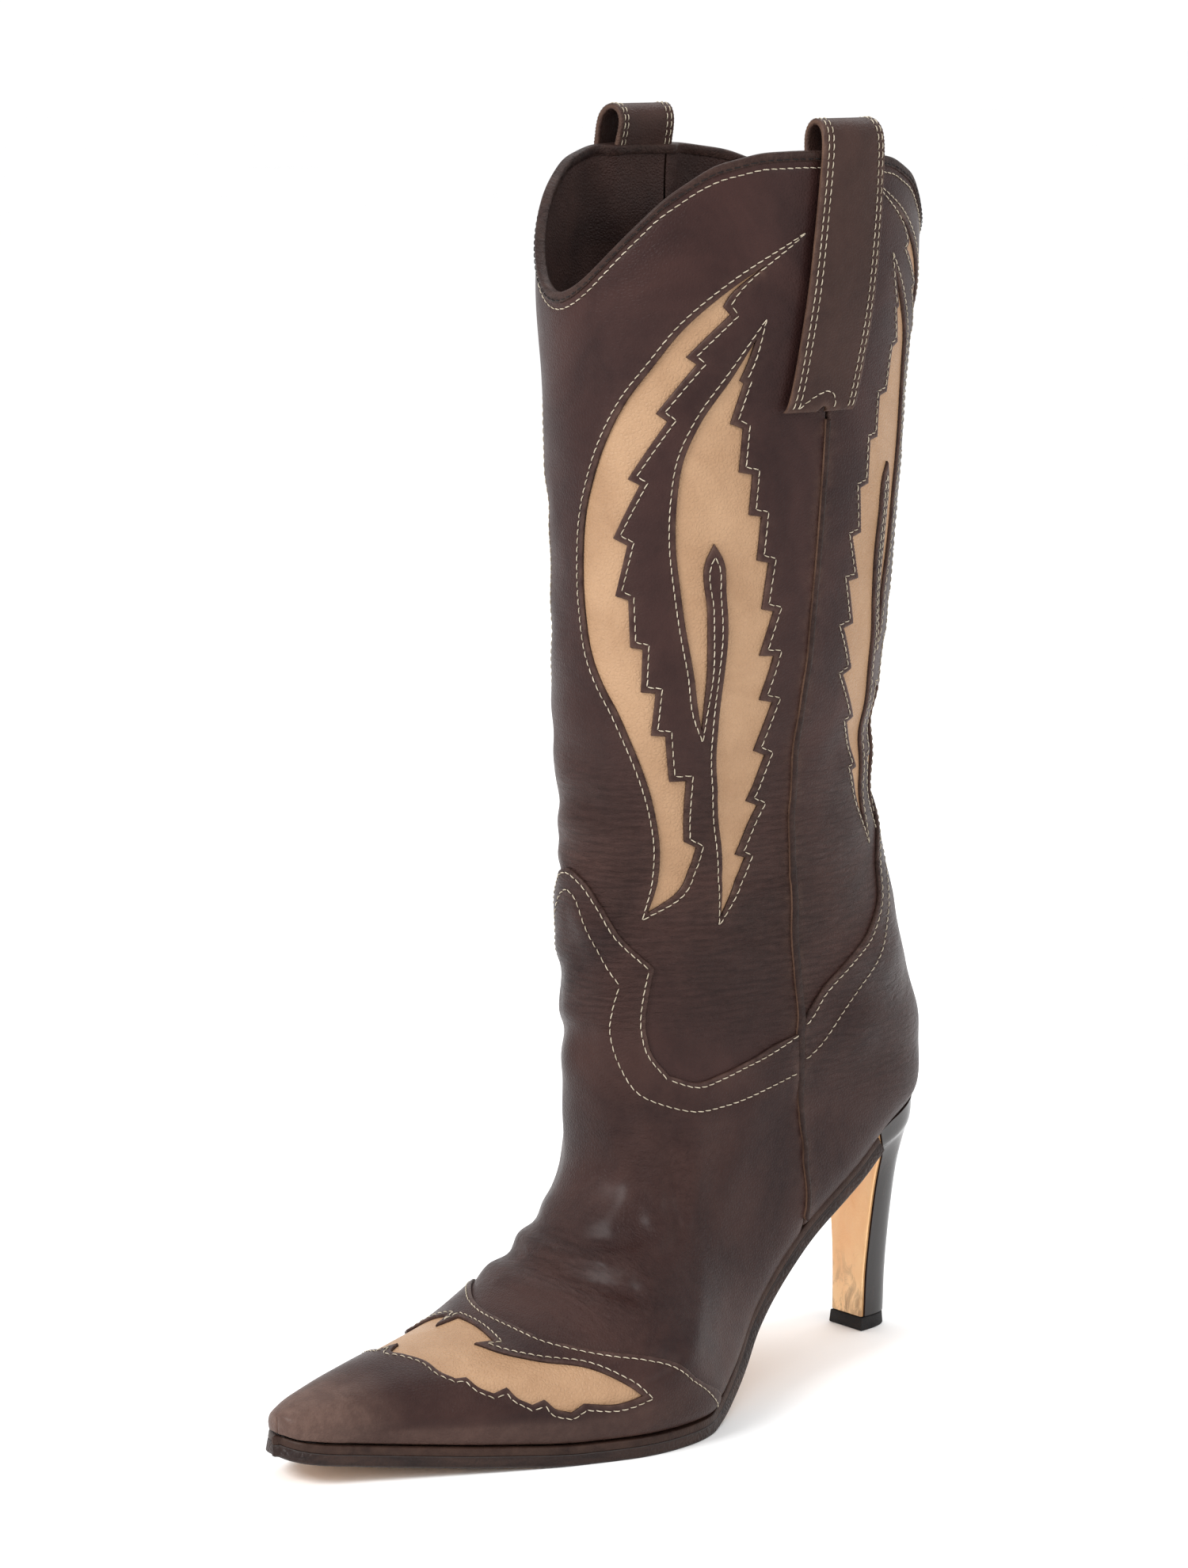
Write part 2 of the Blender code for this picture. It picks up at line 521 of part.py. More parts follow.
def triangulate(loops, extra):
    """Triangles of the region inside the first loop and outside the others."""
    points, edges = [], []
    for loop in loops:
        start = len(points)
        points += [tuple(p) for p in loop]
        count = len(loop)
        edges += [(start + i, start + (i + 1) % count) for i in range(count)]
    points += [tuple(p) for p in extra]
    verts, _, faces, *_ = delaunay_2d_cdt([Vector(p) for p in points], edges, [], 0, 1e-5)
    verts = np.array([tuple(v) for v in verts])
    faces = np.array([tuple(f) for f in faces])
    middle = verts[faces].mean(axis=1)
    keep = inside(middle, loops[0])
    for loop in loops[1:]:
        keep &= ~inside(middle, loop)
    faces = faces[keep]
    a, b, c = (verts[faces[:, k]] for k in range(3))
    area = (b[:, 0] - a[:, 0]) * (c[:, 1] - a[:, 1]) - (b[:, 1] - a[:, 1]) * (c[:, 0] - a[:, 0])
    faces[area < 0] = faces[area < 0][:, ::-1]
    return verts, faces


def two_faced(faces, count):
    """Faces of a closed sheet: the outer face, the inner face and the walls between."""
    out = [tuple(int(i) for i in f) for f in faces]
    rim = {}
    for f in out:
        for a, b in zip(f, f[1:] + f[:1]):
            rim[(a, b)] = True
    walls = [(b, a, a + count, b + count) for a, b in rim if (b, a) not in rim]
    back = [tuple(i + count for i in reversed(f)) for f in out]
    return out + back + walls


def leather(name, outline, layer, colour, roughness, holes=(), rise=None):
    """A cut panel laid on the boot shape, as a closed sheet between two depths."""
    loops = [flat(densify(outline, EDGE_STEP))]
    loops += [flat(densify(hole, EDGE_STEP)) for hole in holes]
    verts, faces = triangulate(loops, layout_points(loops))
    index = {}
    order = np.zeros(len(verts), int)
    kept = []
    for i, (x, y) in enumerate(verts):
        key = (round(abs(x), 3), "tip") if y <= 1e-6 else (i, "own")
        if key not in index:
            index[key] = len(kept)
            kept.append((abs(x) if y <= 1e-6 else x, max(y, 0.0)))
        order[i] = index[key]
    faces = [f for f in order[faces].tolist() if len(set(f)) == 3]
    seen = collections.Counter(frozenset(f) for f in faces)
    faces = [f for f in faces if seen[frozenset(f)] == 1]
    kept = np.array(kept)
    angle, along = kept[:, 0] / STRETCH, kept[:, 1]
    lift = np.zeros(len(kept)) if rise is None else rise(angle, along)
    outer = on_form(angle, along, layer[1] + lift)
    inner = on_form(angle, along, layer[0] + lift)
    return new_object(name, np.concatenate([outer, inner]), two_faced(faces, len(kept)),
                      colour, roughness)


def sheet_grid(name, outer, inner, colour, roughness):
    """Closed sheet from two matching grids of points."""
    rows, columns = outer.shape[:2]
    faces = [(r * columns + c, r * columns + c + 1, (r + 1) * columns + c + 1,
              (r + 1) * columns + c)
             for r in range(rows - 1) for c in range(columns - 1)]
    points = np.concatenate([outer.reshape(-1, 3), inner.reshape(-1, 3)])
    return new_object(name, points, two_faced(faces, rows * columns), colour, roughness)


def ring_faces(rows, columns):
    return [(r * columns + c, r * columns + (c + 1) % columns,
             (r + 1) * columns + (c + 1) % columns, (r + 1) * columns + c)
            for r in range(rows - 1) for c in range(columns)]


def lofted(name, rings, colour, roughness, metallic=0.0, smooth=40.0):
    """Solid through closed rings listed from the bottom up, each running anticlockwise."""
    rings = np.asarray(rings, float)
    rows, columns = rings.shape[:2]
    points = list(rings.reshape(-1, 3)) + [rings[0].mean(axis=0), rings[-1].mean(axis=0)]
    low, high = rows * columns, rows * columns + 1
    top = (rows - 1) * columns
    faces = ring_faces(rows, columns)
    faces += [(low, (c + 1) % columns, c) for c in range(columns)]
    faces += [(high, top + c, top + (c + 1) % columns) for c in range(columns)]
    return new_object(name, points, faces, colour, roughness, metallic, smooth)


def rod(name, x, y, radius, z_low, z_high, colour, roughness, metallic=0.0, sides=16,
        head=None):
    """Upright pin, with an optional head (radius, height) at its top end."""
    turn = np.arange(sides) * 2 * math.pi / sides

    def ring(r, z):
        return np.stack([x + r * np.cos(turn), y + r * np.sin(turn), np.full(sides, z)], axis=1)

    rings = [ring(radius, z_low), ring(radius, z_high)]
    if head:
        rings = [ring(radius, z_low), ring(radius, z_high - head[1]),
                 ring(head[0], z_high - head[1]), ring(head[0], z_high)]
    return lofted(name, rings, colour, roughness, metallic)


def cut(target, cutter):
    """Leaves a hole in the target where the cutter stands."""
    cutter.hide_render = True
    cutter.display_type = "WIRE"
    modifier = target.modifiers.new(cutter.name, "BOOLEAN")
    modifier.operation = "DIFFERENCE"
    modifier.solver = "EXACT"
    modifier.object = cutter


# ================================================================= shaft
def front_outer(points):
    return list(points)


def front_inner(points):
    """The same pattern on the inner side of the front, drawn in towards the seam."""
    origin, target, share = PATTERN_FRONT
    return [(target + share * (a - origin), t) for a, t in points]


def back_outer(points):
    """The pattern mirrored behind the outer seam, bent and drawn together."""
    rise, bend = np.array(PATTERN_RISE), np.array(PATTERN_BEND)
    limit, share = PATTERN_NEAR
    line = []
    seam = SEAM[-1][1]
    for angle, along in points:
        level = float(np.interp(along, rise[:, 0], rise[:, 1]))
        away = seam - angle
        away = min(away, limit) + share * max(away - limit, 0.0)
        line.append((seam + away + float(np.interp(level, bend[:, 0], bend[:, 1])), level))
    return line


def back_inner(points):
    return mirrored(back_outer(points), BACK_CENTRE)


def shaft_outline(foot, centre, back, drop=EDGE_INSET):
    """Outline of a front or back half of the shaft, outer seam first, going up."""
    shift = SEAM_HALF_GAP if back else -SEAM_HALF_GAP
    low = foot[0][1]
    outer_seam = seam_line(low, float(topline_t(88.0)) - drop, shift, False)
    inner_seam = seam_line(low, float(topline_t(-100.0)) - drop, shift, True)
    if back:
        inner_seam = [(a + 360.0, t) for a, t in inner_seam]
    top = topline(outer_seam[-1][0], inner_seam[-1][0], drop)
    bottom = both_sides(foot, centre)
    return outer_seam + top[1:-1] + inner_seam[::-1] + bottom[-2:0:-1]


def make_shaft():
    front_holes = [front_outer(OUTER_FEATHER), front_outer(INNER_FEATHER),
                   front_inner(OUTER_FEATHER), front_inner(INNER_FEATHER)]
    back_holes = [back_outer(OUTER_FEATHER), back_outer(INNER_FEATHER),
                  back_inner(OUTER_FEATHER), back_inner(INNER_FEATHER)]
    leather("shaft_front", shaft_outline(SHAFT_FRONT_FOOT, FRONT_CENTRE, False),
            SHAFT_LAYER, DARK_LEATHER, 0.42, front_holes)
    leather("shaft_back", shaft_outline(SHAFT_BACK_FOOT, BACK_CENTRE, True),
            SHAFT_LAYER, DARK_LEATHER, 0.42, back_holes)


def make_inlays():
    for name, place in (("inlay_front_outer", front_outer), ("inlay_front_inner", front_inner),
                        ("inlay_back_outer", back_outer), ("inlay_back_inner", back_inner)):
        leather(name, place(BACKING), INLAY_LAYER, TAN_LEATHER, 0.5)


def make_shaft_lining():
    leather("shaft_lining_front", shaft_outline(SHAFT_FRONT_FOOT, FRONT_CENTRE, False),
            SHAFT_LINING_LAYER, LINING, 0.7)
    leather("shaft_lining_back", shaft_outline(SHAFT_BACK_FOOT, BACK_CENTRE, True),
            SHAFT_LINING_LAYER, LINING, 0.7)


def make_piping():
    """Raised strip down each side seam, from under the pull strap to the sole."""
    for name, inner_side in (("side_piping_outer", False), ("side_piping_inner", True)):
        low = seam_foot(inner_side)
        left = seam_line(low, STRAP_TAIL_T - 3.0, -PIPING_HALF, inner_side, 9.0)
        right = seam_line(low, STRAP_TAIL_T - 3.0, PIPING_HALF, inner_side, 9.0)
        leather(name, left + right[::-1], PIPING_LAYER, EDGE_BROWN, 0.5)


def seam_foot(inner_side, depth=1.9):
    """Distance along the boot at which the side seam reaches the sole."""
    for along in np.arange(188.0, 240.0, 0.25):
        limit = lasting_angle(float(along), depth, inner_side)
        reach = float(seam_angle(along)) - (2 * FRONT_CENTRE if inner_side else 0.0)
        if reach + 4.0 < limit:
            return float(along)
    return 200.0


# ================================================================= foot
def lap(line):
    """Rise of a foot panel where it laps over the shaft along this edge line."""
    edge = flat(line, MM_PER_DEGREE)

    def rise(angle, along):
        away = distance(np.stack([angle * MM_PER_DEGREE, along], axis=1), edge)
        share = np.clip(1.0 - (away - LAP_WIDTH) / LAP_FADE, 0.0, 1.0)
        return LAP_RISE * share * share * (3 - 2 * share)

    return rise


def vamp_top_line():
    return both_sides(VAMP_TOP, FRONT_CENTRE)


def wing_rear_t(angle):
    table = np.array(WING_REAR)
    return np.interp(angle, table[:, 0], table[:, 1])


def vamp_rise(angle, along):
    """Climbs over the shaft at the top, sinks under the toe wing at the front."""
    over = lap(vamp_top_line())(angle, along)
    ahead = wing_rear_t(angle) + DIP_FADE - along
    share = np.clip(ahead / DIP_FADE, 0.0, 1.0)
    return over - WING_DIP * share * share * (3 - 2 * share)


def side_points(inner_side, shift, t_high):
    """Rear edge of a foot panel in front of the seam: sole to top."""
    low = seam_foot(inner_side, 0.0)
    return seam_line(low, t_high, shift, inner_side, 8.0)


def front_line(t_shift):
    """Wing rear edge moved forward, from the inner side to the outer side."""
    return [(a, t - t_shift) for a, t in WING_REAR]


def trimmed(line, depth):
    """Leaves out the points of a cross line that fall below the sole edge."""
    keep = []
    for angle, along in line:
        if abs(angle) < lasting_angle(along, depth, angle < 0) - 2.0:
            keep.append((angle, along))
    return keep


def make_vamp():
    top = vamp_top_line()
    outer_side = side_points(False, -PIPING_GAP, VAMP_SIDE)
    inner_side = side_points(True, -PIPING_GAP, VAMP_SIDE)
    front = trimmed(front_line(WING_LAP), 0.0)
    outer_low = lasting_line(front[-1][1] + 2.0, outer_side[0][1] - 3.0, 0.0, False)
    inner_low = lasting_line(front[0][1] + 2.0, inner_side[0][1] - 3.0, 0.0, True)
    outline = (front + outer_low + outer_side + top[1:-1]
               + inner_side[::-1] + inner_low[::-1])
    leather("vamp", outline, FOOT_LAYER, DARK_LEATHER, 0.4, rise=vamp_rise)


def make_counter():
    top = both_sides(COUNTER_TOP, BACK_CENTRE)
    outer_side = side_points(False, PIPING_GAP, COUNTER_SIDE)
    inner_side = [(a + 360.0, t) for a, t in side_points(True, PIPING_GAP, COUNTER_SIDE)]
    outer_low = heel_line(outer_side[0][1] + 3.0, False)
    inner_low = heel_line(inner_side[0][1] + 3.0, True)
    outline = (outer_side[::-1] + outer_low + inner_low[-2::-1] + inner_side
               + top[-2:0:-1])
    leather("heel_counter", outline, FOOT_LAYER, DARK_LEATHER, 0.4, rise=lap(top))


def toe_shape(points):
    """Outer half of a toe shape joined to its narrower inner-side half."""
    return list(points) + [(TOE_CENTRE - TOE_OUTER_SHARE * (a - TOE_CENTRE), t)
                           for a, t in points[-2:0:-1]]


def toe_start(depth, count=12):
    """Edge along the rounded tip, from the inner side to the outer side."""
    reach = lasting_angle(0.0, depth, False)
    return [(-reach + 2 * reach * i / count, 0.0) for i in range(count + 1)]


def make_toe():
    rear = trimmed(front_line(0.0), WING_LAYER[1])
    start = toe_start(WING_LAYER[1])
    outer_low = lasting_line(2.0, rear[-1][1] - 1.0, WING_LAYER[1], False)
    inner_low = lasting_line(2.0, rear[0][1] - 1.0, WING_LAYER[1], True)
    outline = start + outer_low + rear[::-1] + inner_low[::-1]
    cut_out = toe_shape(TOE_CUT_REAR + TOE_CUT_FRONT)
    leather("toe_wing", outline, WING_LAYER, DARK_LEATHER, 0.38, holes=[cut_out])
    leather("toe_inlay", toe_shape(TOE_INLAY_OUTLINE), TOE_INLAY_LAYER, TAN_LEATHER, 0.45)


def make_stiffeners():
    outer_low = lasting_line(PUFF[0], PUFF[1], 0.0, False, 16.0)
    inner_low = lasting_line(PUFF[0], PUFF[1], 0.0, True, 16.0)
    across = across_toe(inner_low[0], outer_low[0])
    rear = [(a, PUFF[2]) for a in (60.0, 30.0, 0.0, -30.0, -60.0)]
    leather("toe_puff", across + outer_low + rear + inner_low[::-1], PUFF_LAYER,
            (0.6, 0.55, 0.45), 0.8)
    outer_low = heel_line(STIFFENER_FRONT, False)
    inner_low = heel_line(STIFFENER_FRONT, True)
    top = [(a, t - STIFFENER_DROP) for a, t in both_sides(SHAFT_BACK_FOOT[1:], BACK_CENTRE)]
    leather("counter_stiffener", outer_low + inner_low[-2::-1] + top[::-1], STIFFENER_LAYER,
            (0.45, 0.36, 0.26), 0.85)


def across_toe(inner, outer, count=10):
    """Points of a straight front edge strictly between its two ends."""
    return [(inner[0] + (outer[0] - inner[0]) * i / count, inner[1]) for i in range(1, count)]


def make_foot_linings():
    front_foot = [(a, t - LINING_GAP) for a, t in SHAFT_FRONT_FOOT]
    back_foot = [(a, t - LINING_GAP) for a, t in SHAFT_BACK_FOOT]
    outer_foot, inner_foot = seam_foot(False, 0.0), seam_foot(True, 0.0)
    top = both_sides(front_foot, FRONT_CENTRE)
    outer_side = seam_line(outer_foot, front_foot[0][1] - 2.0, -SEAM_HALF_GAP, False, 8.0)
    inner_side = seam_line(inner_foot, front_foot[0][1] - 2.0, -SEAM_HALF_GAP, True, 8.0)
    outer_low = lasting_line(LINING_FRONT, outer_foot - 3.0, 0.0, False)
    inner_low = lasting_line(LINING_FRONT, inner_foot - 3.0, 0.0, True)
    across = across_toe(inner_low[0], outer_low[0])
    outline = across + outer_low + outer_side + top[1:-1] + inner_side[::-1] + inner_low[::-1]
    leather("vamp_lining", outline, FOOT_LINING_LAYER, LINING, 0.7)
    top = both_sides(back_foot, BACK_CENTRE)
    outer_side = seam_line(outer_foot, back_foot[0][1] - 2.0, SEAM_HALF_GAP, False, 8.0)
    inner_side = [(a + 360.0, t) for a, t in
                  seam_line(inner_foot, back_foot[0][1] - 2.0, SEAM_HALF_GAP, True, 8.0)]
    outer_low = heel_line(outer_foot + 3.0, False)
    inner_low = heel_line(inner_foot + 3.0, True)
    outline = (outer_side[::-1] + outer_low + inner_low[-2::-1] + inner_side
               + top[-2:0:-1])
    leather("heel_lining", outline, FOOT_LINING_LAYER, LINING, 0.7)


# ================================================================= top edge
def make_binding():
    """Narrow folded strip round the whole top edge."""
    out, back = BINDING_OUT, BINDING_IN
    thick, drop = BINDING_THICK, BINDING_DROP
    profile = ((out, -drop), (out + thick, -drop), (out + thick, thick), (back - thick, thick),
               (back - thick, -drop), (back, -drop), (back, 0.0), (out, 0.0))
    rings = []
    for angle in np.arange(BINDING_STEPS) * 360.0 / BINDING_STEPS:
        level = float(topline_t(angle))
        rings.append([on_form(angle, level + w, d) for d, w in profile])
    rings = np.array(rings)
    rows, columns = rings.shape[:2]
    faces = [(r * columns + c, r * columns + (c + 1) % columns,
              ((r + 1) % rows) * columns + (c + 1) % columns, ((r + 1) % rows) * columns + c)
             for r in range(rows) for c in range(columns)]
    new_object("top_binding", rings.reshape(-1, 3), [f[::-1] for f in faces],
               DARK_LEATHER, 0.45)


def strap_path(peak):
    """Middle line of a strap as (depth, along) from the outside tail over the top."""
    path = [(STRAP_OUT, t) for t in np.linspace(STRAP_TAIL_T, STRAP_RISE_T, 9)[:-1]]
    centre, half = 0.5 * (STRAP_OUT + STRAP_IN), 0.5 * (STRAP_OUT - STRAP_IN)
    for turn in np.linspace(0.0, math.pi, 11):
        path.append((centre + half * math.cos(turn),
                     STRAP_RISE_T + (peak - STRAP_RISE_T) * math.sin(turn)))
    path += [(STRAP_INNER_LEG - 1.2, STRAP_RISE_T - 8.0), (STRAP_INNER_LEG, STRAP_RISE_T - 16.0),
             (STRAP_INNER_LEG, STRAP_INNER_T)]
    return np.array(path)


def make_straps():
    for name, sign, top in zip(("pull_strap_outer", "pull_strap_inner"), (1.0, -1.0),
                               STRAP_PEAKS):
        path = strap_path(top)
        run = np.gradient(path, axis=0)
        run /= np.linalg.norm(run, axis=1, keepdims=True)
        side = np.stack([run[:, 1], -run[:, 0]], axis=1) * STRAP_THICK / 2
        rise = np.clip((path[:, 1] - STRAP_TAIL_T) / (STRAP_RISE_T - STRAP_TAIL_T), 0.0, 1.0)
        rise[int(np.argmax(path[:, 1])):] = 1.0
        middle = STRAP_TAIL_ANGLE + (STRAP_TOP_ANGLE - STRAP_TAIL_ANGLE) * np.sqrt(rise)
        across = np.linspace(-STRAP_HALF, STRAP_HALF, 5) / STRAP_MM_PER_DEGREE
        angle = sign * (middle[:, None] + across[None, :])
        faces = []
        for face in (path + side, path - side):
            depth = np.repeat(face[:, :1], len(across), axis=1)
            along = np.repeat(face[:, 1:], len(across), axis=1)
            faces.append(on_form(angle, along, depth))
        if sign > 0:
            faces = [f[:, ::-1] for f in faces]
        sheet_grid(name, faces[0][::-1], faces[1][::-1], DARK_LEATHER, 0.42)


# ================================================================= sole
def edge_widths():
    """Half widths of the upper at the sole: rows of Y, outer side X, inner side X."""
    rows = []
    for along in np.arange(0.0, HEEL_END, 3.0):
        outer = on_form(lasting_angle(along, 0.0, False), along, 0.0)
        inner = on_form(-lasting_angle(along, 0.0, True), along, 0.0)
        rows.append((0.5 * (outer[1] + inner[1]), outer[0], inner[0]))
    return np.array(rows)


EDGE = edge_widths()


def rounded(share):
    """Width of a round end at a share of its length, never quite closed."""
    return math.sqrt(max(0.025, 1.0 - (1.0 - min(1.0, share)) ** 2))


def sole_outline(y_front, y_rear, inset, waist_inset, round_front=False, round_rear=False):
    """Closed outline in (X, Y), set in from the edge of the upper."""
    count = max(4, math.ceil((y_rear - y_front) / SOLE_STEP))
    levels = y_front + (y_rear - y_front) * (1 - np.cos(np.linspace(0, math.pi, count + 1))) / 2
    outer, inner = [], []
    for y in levels:
        amount = np.interp(y, WAIST_START, (inset, waist_inset))
        right = np.interp(y, EDGE[:, 0], EDGE[:, 1]) - amount
        left = np.interp(y, EDGE[:, 0], EDGE[:, 2]) + amount
        squeeze = 1.0
        if round_front:
            squeeze *= rounded((y - y_front) / TOE_ROUND)
        if round_rear:
            squeeze *= rounded((y_rear - y) / HEEL_ROUND)
        middle, half = 0.5 * (right + left), 0.5 * (right - left) * squeeze
        outer.append((middle + half, y))
        inner.append((middle - half, y))
    return outer, inner


def sole_point(x, y, height):
    """Point above or below the underside of the upper, square to it."""
    step = 2.0
    slope = (seat_height(y + step) - seat_height(y - step)) / (2 * step)
    scale = 1.0 / np.sqrt(1.0 + slope ** 2)
    return np.stack([x, y - height * slope * scale, seat_height(y) + height * scale], axis=-1)


def sole_sheet(name, outer, inner, layer, colour, roughness, columns=5, metallic=0.0):
    """Closed plate between two edge lines that run from front to back."""
    outer, inner = np.array(outer), np.array(inner)
    share = np.linspace(0.0, 1.0, columns)
    x = inner[:, :1] + (outer[:, :1] - inner[:, :1]) * share
    y = inner[:, 1:] + (outer[:, 1:] - inner[:, 1:]) * share
    top = sole_point(x, y, layer[1])
    bottom = sole_point(x, y, layer[0])
    obj = sheet_grid(name, top, bottom, colour, roughness)
    obj.data.materials[0].node_tree.nodes["Principled BSDF"].inputs["Metallic"].default_value = (
        metallic)
    return obj


def make_sole():
    tip = EDGE[0, 0]
    outer, inner = sole_outline(tip - SOLE_PROUD, SOLE_END, -SOLE_PROUD, -SOLE_WAIST_PROUD,
                                round_front=True)
    sole_sheet("outsole", outer, inner, OUTSOLE_LAYER, EDGE_BROWN, 0.6)
    make_welt(outer, inner)
    outer, inner = sole_outline(TOE_INSIDE, INSOLE_BACK, INSOLE_INSET, INSOLE_INSET,
                                round_front=True, round_rear=True)
    insole = sole_sheet("insole_board", outer, inner, INSOLE_LAYER, (0.5, 0.38, 0.25), 0.8)
    outer, inner = sole_outline(TOE_INSIDE + 2.0, INSOLE_BACK - 2.0, SOCK_INSET, SOCK_INSET,
                                round_front=True, round_rear=True)
    sole_sheet("sock_liner", outer, inner, SOCK_LAYER, (0.10, 0.055, 0.04), 0.7)
    levels = np.linspace(SHANK[0], SHANK[1], 10)
    sole_sheet("shank", [(SHANK[2], y) for y in levels], [(-SHANK[2], y) for y in levels],
               SHANK_LAYER, (0.55, 0.55, 0.57), 0.35, columns=2, metallic=1.0)
    inset = WELT_WIDTH + WELT_GAP - SOLE_PROUD
    outer, inner = sole_outline(FILLER[0], FILLER[1], inset, inset)
    sole_sheet("ball_filler", outer, inner, FILLER_LAYER, (0.42, 0.27, 0.15), 0.9, columns=4)
    return insole


def make_welt(outer, inner):
    """Strip of leather under the edge of the upper, open at the heel."""
    outer, inner = np.array(outer), np.array(inner)
    path = np.concatenate([inner[::-1], outer])
    centre = 0.5 * (outer + inner)
    middle = np.concatenate([centre[::-1], centre])
    reach = np.abs(path[:, 0] - middle[:, 0])
    width = np.minimum(WELT_WIDTH, 0.62 * reach)
    inset = path.copy()
    inset[:, 0] += np.sign(middle[:, 0] - path[:, 0]) * width
    front = path[:, 1].min()
    near = np.clip(1.0 - (path[:, 1] - front) / 14.0, 0.0, 1.0)
    inset[:, 1] += near * WELT_WIDTH
    sole_sheet("welt", path, inset, WELT_LAYER, EDGE_BROWN, 0.55, columns=3)


# ================================================================= heel
def heel_ring(height, tilt, half, breast, back, grow=0.0, seat=False, points=HEEL_POINTS):
    """Anticlockwise ring: round back from the outer side, then the flat breast."""
    turn = np.linspace(0.0, math.pi, points)
    power = 2.0 / HEEL_SQUARE
    x = (half + grow) * np.sign(np.cos(turn)) * np.abs(np.cos(turn)) ** power
    y = breast + (back + grow - breast) * np.abs(np.sin(turn)) ** power
    flat_x = np.linspace(-(half + grow), half + grow, 6)[1:-1]
    x = np.concatenate([x, flat_x])
    y = np.concatenate([y, np.full(4, breast)])
    z = seat_height(y) - 0.45 if seat else height + tilt * y
    return np.stack([x, y, z], axis=1)


def heel_rings(grow=0.0):
    rings = [heel_ring(*row, grow=grow) for row in HEEL_RINGS]
    half, breast, back = HEEL_SEAT
    rings.append(heel_ring(0.0, 0.0, half, breast, back, grow=grow, seat=True))
    return np.array(rings)


def make_heel():
    core = lofted("heel_block", heel_rings(), (0.30, 0.29, 0.27), 0.6)
    inner = heel_rings(COVER_GAP)[:, :HEEL_POINTS]
    outer = heel_rings(COVER_GAP + COVER_THICK)[:, :HEEL_POINTS]
    sheet_grid("heel_cover", outer, inner, (0.022, 0.018, 0.017), 0.28)
    make_shank_groove(core, make_breast_cover())
    half, breast, back, thick = TOP_PIECE
    rings = [heel_ring(z, 0.0, half - f, breast + f, back - f)
             for z, f in ((0.0, 0.0), (thick, TOP_PIECE_FLARE))]
    piece = lofted("heel_top_piece", rings, (0.012, 0.012, 0.013), 0.65)
    return core, piece


def make_breast_cover():
    """Natural leather facing on the front of the heel."""
    rings = heel_rings()
    rows = []
    for ring in rings:
        edge = ring[ring[:, 1] <= ring[:, 1].min() + 1e-6]
        half = edge[:, 0].max() + COVER_GAP + COVER_THICK - BREAST_MARGIN
        rows.append((half, edge[0, 1], edge[0, 2]))
    rows = np.array(rows)
    run = np.gradient(rows[:, 1:], axis=0)
    run /= np.linalg.norm(run, axis=1, keepdims=True)
    ahead = np.stack([-run[:, 1], run[:, 0]], axis=1)
    share = np.linspace(-1.0, 1.0, 5)
    faces = []
    for depth in (BREAST_GAP + BREAST_THICK, BREAST_GAP):
        place = rows[:, 1:] + ahead * depth
        x = rows[:, :1] * share
        y = np.repeat(place[:, :1], 5, axis=1)
        z = np.repeat(place[:, 1:], 5, axis=1)
        faces.append(np.stack([x, y, z], axis=-1))
    return sheet_grid("heel_breast_cover", faces[0], faces[1], (0.72, 0.43, 0.17), 0.4)


def make_shank_groove(core, cover):
    """Groove for the rear end of the steel shank."""
    levels = np.linspace(SHANK[1] - 14.0, SHANK[1] + GROOVE_CLEAR, 4)
    half = SHANK[2] + GROOVE_CLEAR
    for target in (core, cover):
        groove = sole_sheet(f"shank_groove_{target.name}", [(half, y) for y in levels],
                            [(-half, y) for y in levels], GROOVE_LAYER, LINING, 0.5, columns=2)
        cut(target, groove)


def make_fasteners(core, piece, insole):
    steel = ((0.6, 0.6, 0.62), 0.35, 1.0)
    for number, x in enumerate(PINS_X, 1):
        rod(f"top_piece_pin_{number}", x, 0.6, PIN_RADIUS, *PIN_SPAN, *steel)
        for target in (core, piece):
            hole = rod(f"pin_hole_{number}_{target.name}", x, 0.6, PIN_RADIUS + HOLE_CLEAR,
                       PIN_SPAN[0] - HOLE_CLEAR, PIN_SPAN[1] + HOLE_CLEAR, LINING, 0.5)
            cut(target, hole)
    for number, (x, y) in enumerate(NAILS, 1):
        top = float(seat_height(y)) + INSOLE_LAYER[1] - 0.3
        rod(f"heel_nail_{number}", x, y, NAIL[0], top - NAIL[1], top, *steel, sides=12)
        for target in (core, insole):
            hole = rod(f"nail_hole_{number}_{target.name}", x, y, NAIL[0] + HOLE_CLEAR,
                       top - NAIL[1] - HOLE_CLEAR, top + 3.0, LINING, 0.5, sides=12)
            cut(target, hole)
    x, y, radius, length = SCREW
    top = float(seat_height(y - SCREW_HEAD[0])) + INSOLE_LAYER[1] - 0.3
    rod("heel_screw", x, y, radius, top - length, top, *steel, head=SCREW_HEAD)
    for target in (core, insole):
        hole = rod(f"screw_hole_{target.name}", x, y, radius + HOLE_CLEAR,
                   top - length - HOLE_CLEAR, top + 4.0, LINING, 0.5)
        cut(target, hole)
        well = rod(f"screw_head_well_{target.name}", x, y, SCREW_HEAD[0] + HOLE_CLEAR,
                   top - SCREW_HEAD[1] - HOLE_CLEAR, top + 4.0, LINING, 0.5)
        cut(target, well)


def main():
    for obj in list(bpy.data.objects):
        bpy.data.objects.remove(obj, do_unlink=True)
    make_shaft()
    make_inlays()
    make_shaft_lining()
    make_piping()
    make_vamp()
    make_counter()
    make_toe()
    make_stiffeners()
    make_foot_linings()
    make_binding()
    make_straps()
    insole = make_sole()
    core, piece = make_heel()
    make_fasteners(core, piece, insole)


main()
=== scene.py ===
import collections
import json
import math

import bpy
import numpy as np
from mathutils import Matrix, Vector
from mathutils.geometry import delaunay_2d_cdt
from mathutils.kdtree import KDTree

